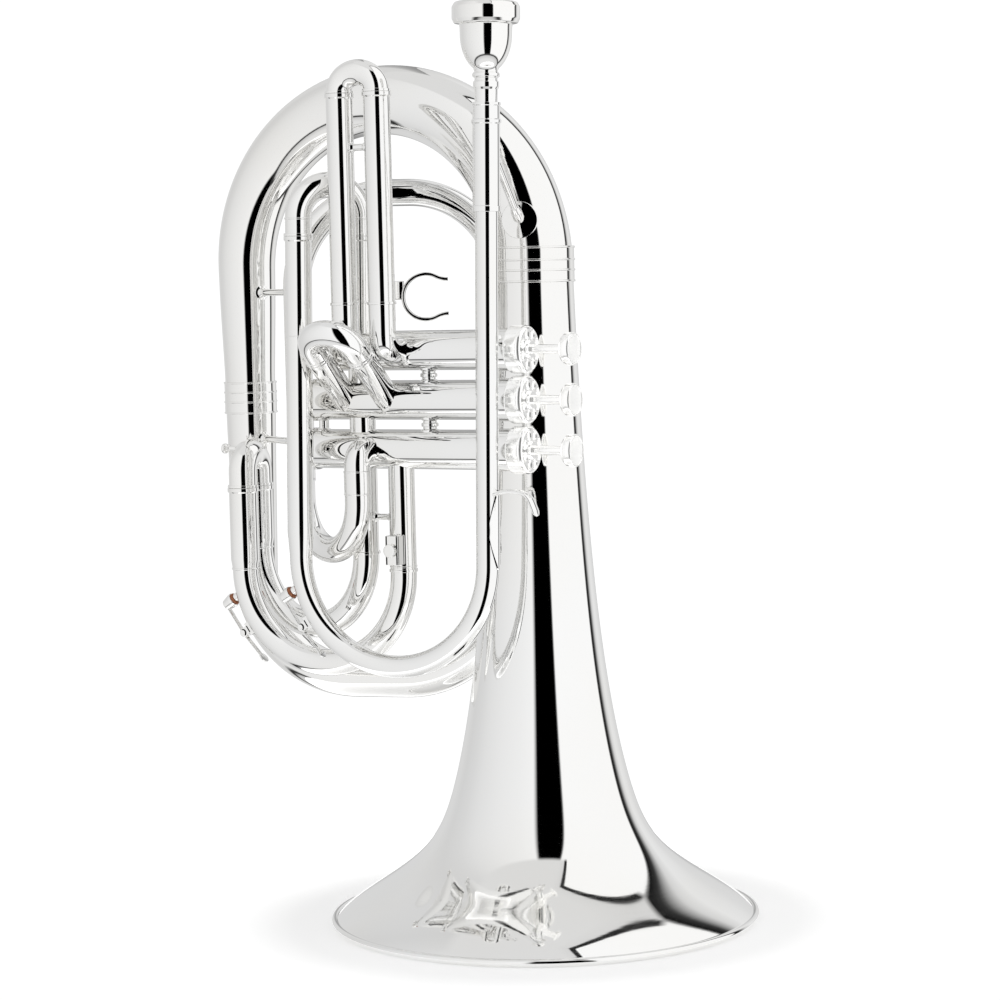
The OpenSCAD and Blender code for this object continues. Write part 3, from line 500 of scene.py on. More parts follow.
def let_in(path, r, valve, sides=40):
    """A tube that meets the casing of a valve along Y."""
    verts = tube(path, r, sides)[0]
    rings = [verts[i:i + sides] for i in range(0, len(verts), sides)]
    across = lambda v: math.sqrt(CASING_FOOT ** 2 - (v.z - VALVE_Z[valve]) ** 2)
    return saddled(rings, lambda v: Vector((v.x, VALVE_Y - across(v), v.z)))


def ring_on(plan, z, r, width, proud):
    """A half-round ring round an upright tube."""
    return move(bead(r, z, width, proud, 56), plan[0], plan[1])


def collar_on(plan, z0, z1, r_in, r_out, soft=0.3):
    """A plain ring round an upright tube."""
    return move(band(r_in, r_out, z0, z1, soft, 56), plan[0], plan[1])


def bell_r(z):
    """Radius of the bell at height z: a long cone that opens into the flare, and the rim's last turn."""
    return 16.95 + 3.314e6 / (z + 189.16) ** 2.047 + 37.4 * math.exp(-((z / 31.55) ** 2))


def make_bell():
    """The shell of the bell and its rolled rim."""
    steps = 110
    z0 = BEAD_R
    heights = [z0 + (376 - z0) * (i / steps) ** 1.7 for i in range(steps + 1)]
    outer = [(bell_r(z), z) for z in heights] + [(THROAT_R, 380.0), (THROAT_R, BELL_TOP)]
    outer[0] = (RIM_R - BEAD_R, z0 + 1.2)
    inner = [(r - BELL_WALL, z) for r, z in reversed(outer)]
    inner[-1] = (RIM_R - BEAD_R, z0 + 0.2)
    shell = turned([p for p in outer if p[1] >= z0 + 1.2] + inner, 192, closed=True)
    lip = []
    for k in range(28):
        a = 2 * math.pi * k / 28
        lip.append((RIM_R - BEAD_R + BEAD_R * math.cos(a), max(0.0, BEAD_R - 0.15 + BEAD_R * math.sin(a))))
    piece("bell_body", [shell, turned(lip, 192, closed=True)], ["bell_flare", "bell_stem"], SILVER)


def make_bell_ferrule():
    r = THROAT_R + 0.7
    body = band(THROAT_R - 0.1, r, 375.5, 396.5, 0.4, 96)
    rings = [bead(r, z, 1.3, 0.6, 96) for z in (376.2, 382.6, 388.6, 395.8)]
    piece("bell_ferrule_sleeve", [body, *rings], ["bell_ferrule"], SILVER)


def make_top_bow():
    """The widest bow, from the bell over to the branch."""
    left = at(BRANCH, 0)
    path = route([(0, 0, BELL_TOP), (0, 0, TOP_BOW_Z + BOW_R), (-2 * BOW_R, 0, TOP_BOW_Z + BOW_R),
                  (left.x, 0, JOINT_Z)], [BOW_R, BOW_R], 2.5, 8.0)
    half = math.pi * BOW_R / 2
    s0 = TOP_BOW_Z - BELL_TOP
    radius = taper([(0, 24.5), (s0, 24.5), (s0 + half, 20.25), (s0 + 2 * half, 17.3),
                    (s0 + 2 * half + 22, 16.9), (s0 + 2 * half + 68, BRANCH_R), (900, BRANCH_R)])
    piece("top_bow_tube", [tube(path, radius, 80)], ["top_bow"], SILVER)


def make_branch_ferrule():
    r = BRANCH_R + 0.7
    rings = [ring_on(BRANCH, z, r, 1.1, 0.5) for z in (299.6, 306.2, 312.1, 318.0)]
    body = collar_on(BRANCH, 299, 318.5, BRANCH_R - 0.1, r, 0.4)
    piece("branch_ferrule_sleeve", [body, *rings], ["branch_ferrule"], SILVER)


def make_bottom_bow():
    """The tapering bow from the branch round to the rear leg."""
    bend = 65.0
    low = 201.3 - bend
    path = route([at(BRANCH, JOINT_Z), at(BRANCH, low), at(REAR, low), at(REAR, 242)], [bend, bend], 2.5, 8.0)
    quarter = math.pi * bend / 2
    s1 = JOINT_Z - 201.3
    flat = (at(REAR, 0) - at(BRANCH, 0)).length - 2 * bend
    s2 = s1 + quarter
    s3 = s2 + flat
    s4 = s3 + quarter
    radius = taper([(0, BRANCH_R), (11, BRANCH_R), (39, 14.5), (74, 14), (s1, 13.5), (s2, 12.5),
                    (s3, 12.3), (s4, 10.3), (s4 + 20.7, 9.3), (s4 + 32.7, INNER_R), (900, INNER_R)])
    piece("bottom_bow_tube", [tube(path, radius, 72)], ["bottom_bow"], SILVER)


def make_rear_ferrule():
    body = collar_on(REAR, 234, 250, INNER_R - 0.1, INNER_R + 0.7, 0.3)
    rings = [ring_on(REAR, z, INNER_R + 0.7, 1.1, 0.5) for z in (234.6, 249.4)]
    piece("rear_ferrule_sleeve", [body, *rings], ["rear_ferrule"], SILVER)


def make_inner_bow():
    """The bow from the rear leg over to the inner leg."""
    top = 375.5 + 55.0
    path = route([at(REAR, 242), at(REAR, top), at(INNER, top), at(INNER, 262)], [55.0, 55.0], 3)
    piece("inner_bow_tube", [tube(path, INNER_R)], ["inner_bow"], SILVER)


def make_small_bow():
    """The lowest casing's outlet and the small bow to the inner leg."""
    half = (at(DROP, 0) - at(INNER, 0)).length / 2
    low = 251.5 - half
    path = route([at(INNER, 262), at(INNER, low), at(DROP, low), at(DROP, 262)], [half, half], 4)
    piece("small_bow_tube", [tube(path, SMALL_R), ring_on(INNER, 262, SMALL_R, 2.2, 0.7)],
          ["small_bow"], SILVER)
    sleeve = collar_on(DROP, 255.5, 269.5, SMALL_R - 0.1, SMALL_R + 0.2, 0.1)
    rings = [ring_on(DROP, z, SMALL_R + 0.2, 0.9, 0.3) for z in (256, 269)]
    piece("small_bow_ferrule_sleeve", [sleeve, *rings], ["small_bow_ferrule"], SILVER)
    end = at((DROP[0], VALVE_Y - CASING_FOOT), 281)
    elbow = route([at(DROP, 262), at(DROP, 281), end], [9.0], 6)
    piece("valve_elbow_tube", [let_in(elbow, SMALL_R, 0)], ["valve_elbow"], SILVER)


def bar(p, q, r, foot=None, foot_r=4.5, foot_t=1.4):
    """A round rod from p to q. foot gives how far in from each end its solder flange sits."""
    p, q = Vector(p), Vector(q)
    length = (q - p).length
    rod = lathed([(AXIS, 0), (r, 0), (r, length), (AXIS, length)], 0.2, 32)
    shapes = [placed(rod, frame_at(p, q - p))]
    if foot is not None:
        for base, axis, inset in ((p, q - p, foot[0]), (q, p - q, foot[1])):
            flange = [(AXIS, -0.6), (foot_r, -0.6), (foot_r, foot_t * 0.4, 0.5), (r + 0.9, foot_t, 0.8),
                      (r, foot_t + 1.6, 0.6), (AXIS, foot_t + 1.6)]
            place = frame_at(base + axis.normalized() * inset, axis)
            shapes.append(placed(lathed(flange, 0.3, 32), place))
    return joined(shapes)


def make_braces():
    shapes = []
    along = (at(INNER, 0) - at(BRANCH, 0)).normalized()
    aside = Vector((-along.y, along.x, 0)) * 2.4
    for z, r in ((373, 17.2), (283.6, 14.7)):
        shapes.append(bar(at(BRANCH, z) + aside, at(INNER, z) + aside, 2.0, (r - 0.6, INNER_R - 0.6)))
    sunk = (OUTER_R - 0.6, OUTER_R - 0.6)
    shapes.append(bar(at(THIRD_OUT, 241), at(THIRD_IN, 241), 1.8, sunk, 3.4, 0.9))
    shapes.append(bar(at(FIRST[0], 454.7), at(FIRST[1], 454.7), 2.0, sunk, 3.6, 0.9))
    piece("brace_bars", shapes, ["braces"], SILVER)


def make_leadpipe():
    """The receiver, the leadpipe and its bow."""
    tip = 477.5
    bore = [(6.5, tip), (5.8, tip - 24), (5.0, tip - 24.5), (5.0, 419)]
    outer = [(PIPE_R - 0.1, 417), (8.2, 417, 0.5), (8.2, 420, 0.5), (7.7, 420.6), (7.7, 465.6),
             (8.4, 466.2, 0.6), (8.4, 467.8, 0.6), (7.7, 468.4), (7.7, 475.6), (8.1, 476), (8.1, tip)]
    sleeve = lathed(outer + bore, 0.3, 64, True)
    piece("receiver_sleeve", [move(sleeve, *PIPE)], ["receiver"], SILVER, matrix=LEANING)
    pipe = upright(PIPE, PIPE_BOW_Z, 427, PIPE_R, 48)
    piece("leadpipe_tube", [pipe], ["leadpipe"], SILVER, matrix=LEANING)
    loop = route([at(PIPE, PIPE_BOW_Z), at(PIPE, LEAN_Z), at(PIPE_LEFT, LEAN_Z), at(PIPE_LEFT, PIPE_BOW_Z)],
                 [PIPE_BOW_R, PIPE_BOW_R], 2.5)
    piece("leadpipe_bow_tube", [tube(loop, PIPE_R, 48)], ["leadpipe_bow"], SILVER, matrix=LEANING)


def outer_mouth(plan, z, r):
    """Rolled collar at the mouth of an outer slide tube that ends at z."""
    profile = [(r - 0.75, z - 3), (r, z - 3), (r + 0.8, z - 2.2, 0.4), (r + 0.8, z, 0.4), (r - 0.75, z)]
    return move(lathed(profile, 0.2, 56, True), plan[0], plan[1])


def make_tuning_tubes():
    """The two outer tubes of the tuning slide. The second ends in the upper casing."""
    z0, z1 = PIPE_BOW_Z, 404.0
    widens = 14
    cone = [(at(PIPE_LEFT, z), UP) for z in (z0, z0 + widens / 2, z0 + widens, z1)]
    radius = lambda s: PIPE_R + (OUTER_R - PIPE_R) * min(1.0, s / widens)
    shapes = [tube(cone, radius, 48), outer_mouth(PIPE_LEFT, z1, OUTER_R),
              ring_on(PIPE_LEFT, 346.6, OUTER_R, 0.9, 0.25)]
    piece("tuning_outer_tube", shapes, ["tuning_tube"], SILVER, matrix=LEANING)
    shapes = [upright(INLET, VALVE_Z[2] + CASING_IN, z1, OUTER_R, 48), outer_mouth(INLET, z1, OUTER_R),
              collar_on(INLET, 365, 366.6, OUTER_R - 0.1, OUTER_R + 0.7)]
    piece("tuning_inlet_tube", shapes, ["tuning_inlet"], SILVER, matrix=LEANING)


def crook(p, q, z0, r, z_bend, collar, top_ring=None, rise=1.0):
    """The two short grips and the return bend of a pull-out slide, between plan points p and q.

    The bend starts at z_bend, and rise is its height as a share of a half circle's."""
    half = (at(q, 0) - at(p, 0)).length / 2
    path = route([at(p, z0), at(p, z_bend + half), at(q, z_bend + half), at(q, z0)], [half, half], 5)
    path = [(Vector((c.x, c.y, min(c.z, z_bend + (c.z - z_bend) * rise))), t) for c, t in path]
    shapes = [tube(path, r, 48)]
    for leg in (p, q):
        shapes.append(collar_on(leg, z0 - 0.01, z0 + 1.6, r - 0.5, r + collar, 0.35))
        if top_ring:
            shapes.append(ring_on(leg, top_ring, r, 1.2, 0.5))
    return shapes


def make_tuning_slide():
    shapes = crook(PIPE_LEFT, INLET, 404.05, 7.6, 415.0, 0.9, 414.2)
    shapes += [upright(leg, 358, 404.5, LEG_R) for leg in (PIPE_LEFT, INLET)]
    piece("tuning_crook", shapes, ["tuning_slide"], BRIGHT, "tuning_slide", LEANING)


def make_bell_brace():
    """The rod from the receiver to a disc on the top bow."""
    near, foot = Vector((12.1, PIPE[1], 458)), Vector((4.5, -22.2, 411.6))
    along = (foot - near).normalized()
    out = Vector((math.sin(math.radians(18)), -math.cos(math.radians(18)), 0))
    # The disc is bent round the bow that it is soldered to
    saddle = lambda r, h, a: (r, h - (r * math.cos(a)) ** 2 / 47.0)
    disc = [(AXIS, -1.2), (10.7, -1.2), (10.7, 1.65, 0.3), (9.9, 1.7, 0.4), (AXIS, 1.7)]
    rod = bar(near + along * 7.6, foot + along * 1.5, 2.3)
    sleeve = [(AXIS, 0), (2.4, 0), (3.3, 4, 2), (3.3, 9, 2), (2.2, 12.4, 1.4), (AXIS, 12.8)]
    flange = [(AXIS, 0), (4.2, 0), (3.8, 1.6, 0.8), (2.3, 3.4), (AXIS, 3.4)]
    shapes = [placed(lathed(disc, 0.3, 96, shape=saddle), frame_at(foot, out)), rod,
              placed(lathed(sleeve, 0.5, 40), frame_at(foot - along * 11, along)),
              placed(lathed(flange, 0.3, 40), frame_at(near + along * 7.4, along))]
    piece("bell_brace_rod", shapes, ["bell_brace"], SILVER)


def arc_path(cx, cz, r, a0, a1, step=5):
    """An arc of radius r about (cx, cz), in the plane where Y is 0, as points and tangents."""
    count = max(2, math.ceil(abs(a1 - a0) / step))
    out = []
    for k in range(count + 1):
        a = math.radians(a0 + (a1 - a0) * k / count)
        sign = 1 if a1 > a0 else -1
        point = Vector((cx + r * math.cos(a), 0, cz + r * math.sin(a)))
        out.append((point, Vector((-math.sin(a), 0, math.cos(a))) * sign))
    return out


def make_thumb_hook():
    """The open ring for the left thumb."""
    reach_x, cz, mid, flare_r, mouth, flare = 38.2, 368.7, 13.2, 14.0, 62.0, 29.0
    out = mid + flare_r
    a = math.radians(mouth)
    flare_x, flare_z = reach_x + out * math.cos(a), out * math.sin(a)
    top = arc_path(flare_x, cz + flare_z, flare_r, 180 + mouth + flare, 180 + mouth)
    ring = arc_path(reach_x, cz, mid, mouth, 360 - mouth)
    low = arc_path(flare_x, cz - flare_z, flare_r, 180 - mouth, 180 - mouth - flare)
    path = top + ring[1:] + low[1:]
    bar_x = (7.4, reach_x - mid + 0.6)
    foot = move(block((bar_x[1] - bar_x[0], 7.6, 11), 0.8), sum(bar_x) / 2, 0, 372.7)
    root = Matrix.Translation((INLET[0] + (cz - LEAN_Z) * math.sin(LEAN), INLET[1], 0))
    strip = swept(path, rounded_box_section(8, 2.1, 0.6))
    turn = Matrix.Rotation(math.radians(27), 4, "Z")
    piece("thumb_hook_strip", [strip, foot], ["thumb_hook"], BRIGHT, matrix=root @ turn)


def make_finger_hook():
    """The arm for the little finger, on the leadpipe."""
    y = PIPE[1]
    path = route([(8, y, 256.6), (22, y, 259.8), (33.5, y, 258.2), (38.8, y, 245.6)], [30, 9], 5, 0.8)
    ends = distances(path)[-1]

    def section(s):
        tip = max(0.0, (s - ends + 3.2) / 3.2)
        root = max(0.0, 1 - s / 9)
        width = 7.6 * math.sqrt(max(0.06, 1 - tip * tip)) + root * 1.5
        thick = 2.8 - 1.2 * tip
        return oval(width / 2, thick / 2, 32)

    arm = swept(path, section)
    # The foot is a pointed leaf between two arcs, wrapped round the leadpipe
    leaf_low, leaf_mid, leaf_len, leaf_arc, leaf_r = 216.5, 239, 45, 48, 7.3
    rings = []
    for i in range(25):
        z = leaf_low + leaf_len * i / 24
        half = max(0.02, math.sqrt(max(0, leaf_arc ** 2 - (z - leaf_mid) ** 2)) - 42)
        spread = math.asin(min(0.98, half / leaf_r))
        angles = [spread * k / 8 for k in range(-8, 9)]
        edge = [(leaf_r, a) for a in angles] + [(leaf_r - 1, a) for a in reversed(angles)]
        rings.append([Vector((PIPE[0] + r * math.cos(a), y + r * math.sin(a), z)) for r, a in edge])
    leaf = placed(skin(rings), LEANING)
    piece("finger_hook_strip", [arm, leaf], ["finger_hook"], BRIGHT)


def grooved(wall_r, depth, count):
    """For turned: fine grooves down the wall of a form, where its radius is over wall_r."""
    def shape(r, h, a):
        return r - (depth * (0.5 + 0.5 * math.cos(count * a)) if r > wall_r else 0), h
    return shape


def make_lyre_socket():
    """The box with a thumb screw on the third slide's long tube."""
    x, y, z = -66.4, -63.4, 214.3
    w, d, h = 8.4, 7.5, 17.0
    wall = 1.6
    front = move(block((w, 1.4, h), 0.35), x + w / 2, y + 0.7, z + h / 2)
    back = move(block((w, 2.6, h), 0.35), x + w / 2, y + d - 0.3, z + h / 2)
    side = block((wall, d, h), 0.35)
    sides = [move(side, sx, y + d / 2, z + h / 2) for sx in (x + wall / 2, x + w - wall / 2)]
    piece("lyre_box", [front, back, *sides], ["lyre_socket"], BRIGHT)
    head = lathed([(AXIS, 0), (4, 0), (4, 2.6), (2.6, 2.9, 0.3), (AXIS, 2.9)], 0.4, 108,
                  shape=grooved(3.4, 0.22, 18))
    stem = turned([(AXIS, -2), (1.25, -2), (1.25, 1), (AXIS, 1)], 32)
    place = frame_at((x + w / 2, y - 0.6, z + h / 2), (0, -1, 0))
    piece("lyre_thumb_screw", [placed(head, place), placed(stem, place)], ["lyre_screw"], BRIGHT)


def make_first_slide():
    """Two elbows of the upper casing with upright outer tubes, and their crook."""
    shapes = []
    for plan in FIRST:
        end = at((plan[0], VALVE_Y - CASING_FOOT), 339)
        path = route([at(plan, FIRST_TOP), at(plan, 339), end], [9.0], 6)
        shapes += [let_in(path, OUTER_R, 2, 48), outer_mouth(plan, FIRST_TOP, OUTER_R),
                   collar_on(plan, 365, 366.6, OUTER_R - 0.1, OUTER_R + 0.7)]
    piece("first_slide_outer", shapes, ["first_slide_tubes"], SILVER)
    p, q = FIRST
    shapes = crook(p, q, FIRST_TOP + 0.05, 7.4, FIRST_TOP + 1.2, 0.8, None, 0.84)
    shapes += [upright(leg, 410, FIRST_TOP + 1, LEG_R) for leg in FIRST]
    piece("first_slide_crook", shapes, ["first_slide"], BRIGHT, "first_slide")


def make_second_slide():
    """Two slanting outer tubes of the middle casing, and their crook."""
    mid = (SECOND_X[0] + SECOND_X[1]) / 2
    half = (SECOND_X[1] - SECOND_X[0]) / 2
    r = OUTER_R - 0.1
    out = Vector((0, -math.cos(SECOND_TILT), math.sin(SECOND_TILT)))
    below = Vector((0, -math.sin(SECOND_TILT), -math.cos(SECOND_TILT)))
    frame_2 = frame_at(Vector((mid, VALVE_Y, VALVE_Z[1])) + below * SECOND_DROP, out, (1, 0, 0))
    legs = ((-half, 0.0), (half, 0.0))
    shapes = []
    # The feet lie on the round of the casing, whose axis is beside the slide's own plane
    deep = lambda v: math.sqrt(max(0.0, CASING_FOOT ** 2 - (v.y - SECOND_DROP) ** 2))
    for leg in legs:
        rings = [[Vector((leg[0] + x, leg[1] + y, z)) for x, y in circle(r, 48)] for z in (SECOND_LEN, 0)]
        shapes += [saddled(rings, lambda v: Vector((v.x, v.y, deep(v)))), outer_mouth(leg, SECOND_LEN, r)]
    piece("second_slide_outer", shapes, ["second_slide_tubes"], SILVER, matrix=frame_2)
    shapes = crook(legs[0], legs[1], SECOND_LEN + 0.05, 7.5, SECOND_LEN + SECOND_GRIP, 0.6)
    shapes += [upright(leg, 20, SECOND_LEN + 1, LEG_R - 0.1) for leg in legs]
    shapes += [collar_on(leg, SECOND_LEN + 1, SECOND_LEN + SECOND_GRIP, 7.2, r, 0.4) for leg in legs]
    piece("second_slide_crook", shapes, ["second_slide"], BRIGHT, "second_slide", frame_2)


def third_tube(start, end, z_bow, z_end):
    """A low tube of the third slide: the narrow leg, its bow and the wider outer tube with a flange."""
    half = (at(start, 0) - at(end, 0)).length / 2
    low = z_bow - half
    path = route([at(start, z_end), at(start, low), at(end, low), at(end, z_bow)], [half, half], 2.5)
    cone = [(at(end, z), UP) for z in (z_bow, z_bow + 3, z_bow + 6, THIRD_TOP)]
    radius = lambda s: OUTER_R + (THIRD_R - OUTER_R) * min(1.0, s / 6)
    return [tube(path, OUTER_R, 48), tube(cone, radius, 48), outer_mouth(end, THIRD_TOP, THIRD_R),
            ring_on(end, z_bow + 0.2, OUTER_R, 1.4, 0.6)]


def make_third_slide():
    """The two low tubes of the lowest casing, and their crook with its pull knob."""
    shapes = third_tube(THIRD_IN, THIRD_LEFT, 208.0, VALVE_Z[0] - CASING_IN)
    shapes += [collar_on(THIRD_IN, 209.2, 210.8, OUTER_R - 0.1, OUTER_R + 0.7),
               ring_on(THIRD_IN, 212.4, OUTER_R, 1.2, 0.4)]
    piece("third_slide_long", shapes, ["third_slide_loop"], SILVER)
    shapes = third_tube(THIRD_OUT, THIRD_BACK, 219.0, VALVE_Z[0] - CASING_IN)
    shapes.append(collar_on(THIRD_OUT, 219, 220.6, OUTER_R - 0.1, OUTER_R + 0.7))
    piece("third_slide_short", shapes, ["third_slide_return"], SILVER)
    shapes = crook(THIRD_LEFT, THIRD_BACK, THIRD_TOP + 0.05, 8.4, 266.0, 0.8)
    shapes += [upright(leg, 227, THIRD_TOP + 1, THIRD_LEG_R) for leg in (THIRD_LEFT, THIRD_BACK)]
    knob = [(AXIS, 0), (3, 0, 0.9), (3, 2.4, 0.9), (1.6, 3.0), (1.6, 3.6), (2.3, 3.7, 0.4),
            (2.3, 4.6, 0.4), (1.6, 4.7), (1.6, 9.5), (AXIS, 9.5)]
    place = frame_at((THIRD_LEFT[0] - 15.3, THIRD_LEFT[1] + 3, 280), (1, 0, 0))
    shapes.append(placed(lathed(knob, 0.3, 40), place))
    piece("third_slide_crook", shapes, ["third_slide"], BRIGHT, "third_slide")


def dimpled(r, h, a):
    """For turned: round dimples in a ring on the face of a top cap."""
    count, ring_r, dimple_r, deepest = 8, 9.1, 2.9, 1.2
    if h > CAP_X - 2.2 and 5.4 < r < 12.9:
        step = 2 * math.pi / count
        # The angle from the middle of the nearest dimple; the first stands half a step round
        off = a % step - step / 2
        ball = dimple_r ** 2 - (r * r + ring_r ** 2 - 2 * r * ring_r * math.cos(off))
        if ball > 0:
            return r, h - min(deepest, math.sqrt(ball) * 0.55)
    return r, h


def make_valve(i):
    """A casing along +X with its two caps, and the stem and finger button of its piston."""
    n = i + 1
    x0, x1 = CASING_X
    m = frame_at((0, VALVE_Y, VALVE_Z[i]), (1, 0, 0), UP)
    casing = [(10, x0), (CASING_R, x0), (CASING_R, x1 - 17, 0.5), (12.3, x1 - 16, 0.5), (12.3, x1), (10, x1)]
    barrel = placed(lathed(casing, 0.3, 80, True), m)
    piece(f"casing_{n}_barrel", [barrel], [f"casing_{n}"], SILVER)

    face = [(13.45, CAP_X - 1.7), (13.1, CAP_X - 0.9), (12.7, CAP_X - 0.4), (12.3, CAP_X - 0.1)]
    rings = [(12.4 - 0.5 * k, CAP_X) for k in range(1, 15)]
    hub = [(5.3, CAP_X + 0.1), (5.2, CAP_X + 1.2), (4.8, CAP_X + 1.6), (2.85, CAP_X + 1.6), (2.8, CAP_X - 1)]
    wall = [(10.5, x1), (13.4, x1), (13.7, x1 + 0.4)]
    wall += [(13.7, x1 + 1 + 0.75 * k) for k in range(10)]
    profile = wall + [(13.65, CAP_X - 2.3)] + face + rings + hub + [(2.8, x1 + 6), (10, x1 + 6)]
    cap = turned(profile, 480, closed=True, shape=dimpled)
    piece(f"top_cap_{n}_cover", [placed(cap, m)], [f"top_cap_{n}"], SATIN_PAINTED_GLOW, sharp=38)

    b0 = CASING_END
    low = [(2.5, b0), (9, b0, 1.0), (11.6, b0 + 0.8, 1.2), (12.4, b0 + 2.4, 0.6), (12.4, x0, 0.4),
           (9.9, x0), (9.9, x0 + 2), (8, x0 + 2), (8, b0 + 3), (2.5, b0 + 3)]
    cap = lathed(low, 0.25, 200, True, grooved(12.3, 0.14, 50))
    piece(f"bottom_cap_{n}_cover", [placed(cap, m)], [f"bottom_cap_{n}"], BRIGHT)

    b = BUTTON_X
    stem = [(AXIS, 4.05), (4.5, 4.05), (4.5, 7.05), (2.7, 7.2), (2.7, b - 4.6), (4.0, b - 3.2, 0.8),
            (7.6, b - 2.2, 2.0), (9.3, b - 0.4, 1.4), (9.5, b + 1.4, 1.2), (9.4, b + 3.6, 0.8),
            (8.9, b + 4.4, 0.4), (8.3, b + 4.4, 0.3), (8.2, b + 3.9), (AXIS, b + 3.9)]
    button = placed(lathed(stem, 0.3, 96), m)
    piece(f"button_{n}_touch", [button], [f"button_{n}"], SATIN_PAINTED_GLOW, f"piston_{n}")
    inlay_r, dome, steps = 8.1, 0.55, 10
    angles = [math.pi / 2 * k / steps for k in range(steps, 0, -1)]
    inlay = [(AXIS, b + 3.7), (inlay_r, b + 3.7)]
    inlay += [(inlay_r * math.sin(t), b + 4.0 + dome * math.cos(t)) for t in angles]
    inlay.append((AXIS, b + 4.0 + dome))
    pearl = placed(turned(inlay, 72), m)
    piece(f"button_{n}_inlay", [pearl], [f"button_{n}"], PEARL_PAINTED_GLOW, f"piston_{n}")


def make_casing_links():
    """Between the casings a knuckle tube and two turned stays, and a stay to the leadpipe."""
    shapes = []
    for i in (0, 1):
        z0, z1 = VALVE_Z[i] + 10, VALVE_Z[i + 1] - 10
        mid = (z0 + z1) / 2
        shapes.append(upright((THIRD_OUT[0], VALVE_Y), z0, z1, OUTER_R, 48))
        for x, r, collar in ((-43.3, 4.0, 5.0), (-114.6, 3.0, 3.0)):
            waist = [(AXIS, z0), (r + 1.6, z0, 0.2), (r + 1.2, z0 + 1.6, 0.8), (r, mid - 2.6, 1.5),
                     (r, mid - 1.1, 0.2), (collar, mid - 1, 0.4), (collar, mid + 1, 0.4),
                     (r, mid + 1.1, 0.2), (r, mid + 2.6, 1.5), (r + 1.2, z1 - 1.6, 0.8),
                     (r + 1.6, z1, 0.2), (AXIS, z1)]
            shapes.append(move(lathed(waist, 0.3, 40), x, VALVE_Y))
    z = VALVE_Z[2] + 6
    shapes.append(bar((7, PIPE[1] + 5.2, z), (7, VALVE_Y - 10.5, z), 2.2, (0.2, 0.2), 3.6, 0.8))
    piece("casing_link_tubes", shapes, ["casing_links"], SILVER)


def key_frame(k):
    """The place of water key k on its bow: local +X points out of the bend and +Y along it."""
    turn = math.radians(215)
    if k == 1:
        centre = Vector(((THIRD_LEFT[0] + THIRD_IN[0]) / 2, THIRD_IN[1], 208.0))
        plus = Matrix.Identity(4)
    else:
        centre = Vector((PIPE_MID, PIPE[1], PIPE_BOW_Z))
        plus = LEANING
    x = Vector((math.cos(turn), 0, math.sin(turn)))
    y = Vector((-math.sin(turn), 0, math.cos(turn)))
    m = Matrix((x, y, x.cross(y))).transposed().to_4x4()
    m.translation = centre
    return plus @ m


def make_water_key(k):
    """The saddle and spout of water key k, its lever and its cork pad."""
    bow = (THIRD_IN[0] - THIRD_LEFT[0]) / 2 if k == 1 else PIPE_BOW_R
    r = bow + (OUTER_R if k == 1 else PIPE_R)
    pivot, reach = r + 4.5, 21.0
    nipple = math.sqrt(r * r - reach * reach) + 2.6
    m = key_frame(k)
    along_x = Vector((1, 0, 0))
    saddle = move(block((3.4, 8, 9), 0.4), r - 0.6, 0, 0)
    shapes = [saddle]
    for z in (-3.9, 3.9):
        shapes.append(move(block((5.2, 5, 1.2), 0.3), r + 2.2, 0, z))
        ear = lathed([(AXIS, -0.6), (2.5, -0.6), (2.5, 0.6), (AXIS, 0.6)], 0.25, 40)
        shapes.append(move(ear, pivot, 0, z))
    pin = lathed([(AXIS, -5.3), (1, -5.3), (1, 4.5), (1.7, 4.5), (1.7, 5.5), (AXIS, 5.5)], 0.2, 32)
    shapes.append(move(pin, pivot, 0, 0))
    spout = lathed([(1.5, 0), (3.4, 0, 0.5), (2.6, 2.2, 0.6), (2.6, 6), (1.5, 6)], 0.2, 40, True)
    shapes.append(placed(spout, frame_at((nipple - 6, -reach, 0), along_x)))
    piece(f"key_mount_{k}_saddle", shapes, [f"key_mount_{k}"], BRIGHT, matrix=m)

    plate = pivot + 1.6
    cup = nipple + 1.4
    bend, tail = math.radians(8), 19.0
    root = Vector((plate + 0.7, 0, 0))
    tip = Vector((plate + 0.7 - tail * math.sin(bend), tail * math.cos(bend), 0))
    lever = route([(plate + 0.7, -reach, 0), root, tip], [6.0], 1, 2.0)
    arm = swept(lever, oval(1.8, 0.78, 24), UP)
    barrel = band(1.06, 2.3, -3, 3, 0.3, 40)
    cup_h = plate + 1.4 - cup
    cover = lathed([(AXIS, 1.6), (3.5, 1.6), (3.5, 0), (4.2, 0), (4.2, 1.8, 0.5), (3.2, cup_h, 0.8),
                    (AXIS, cup_h)], 0.3, 48)
    touch = lathed([(AXIS, 0), (3.3, 0, 0.4), (3.3, 0.9, 0.6), (1.8, 1.4, 1.0), (AXIS, 1.5)], 0.3, 48)
    touch_way = Vector((math.cos(bend), math.sin(bend), 0))
    shapes = [arm, move(barrel, pivot, 0, 0), placed(cover, frame_at((cup, -reach, 0), along_x)),
              placed(touch, frame_at(tip - Vector((0.7, 0, 0)), touch_way))]
    piece(f"water_key_{k}_lever", shapes, [f"water_key_{k}"], BRIGHT, f"water_key_{k}", m)

    pad = lathed([(AXIS, 0), (3.5, 0, 0.6), (3.5, 2.95), (AXIS, 2.95)], 0.3, 48)
    pad = placed(pad, frame_at((nipple + 0.05, -reach, 0), along_x))
    piece(f"key_cork_{k}_pad", [pad], [f"key_cork_{k}"], CORK, f"water_key_{k}", m)


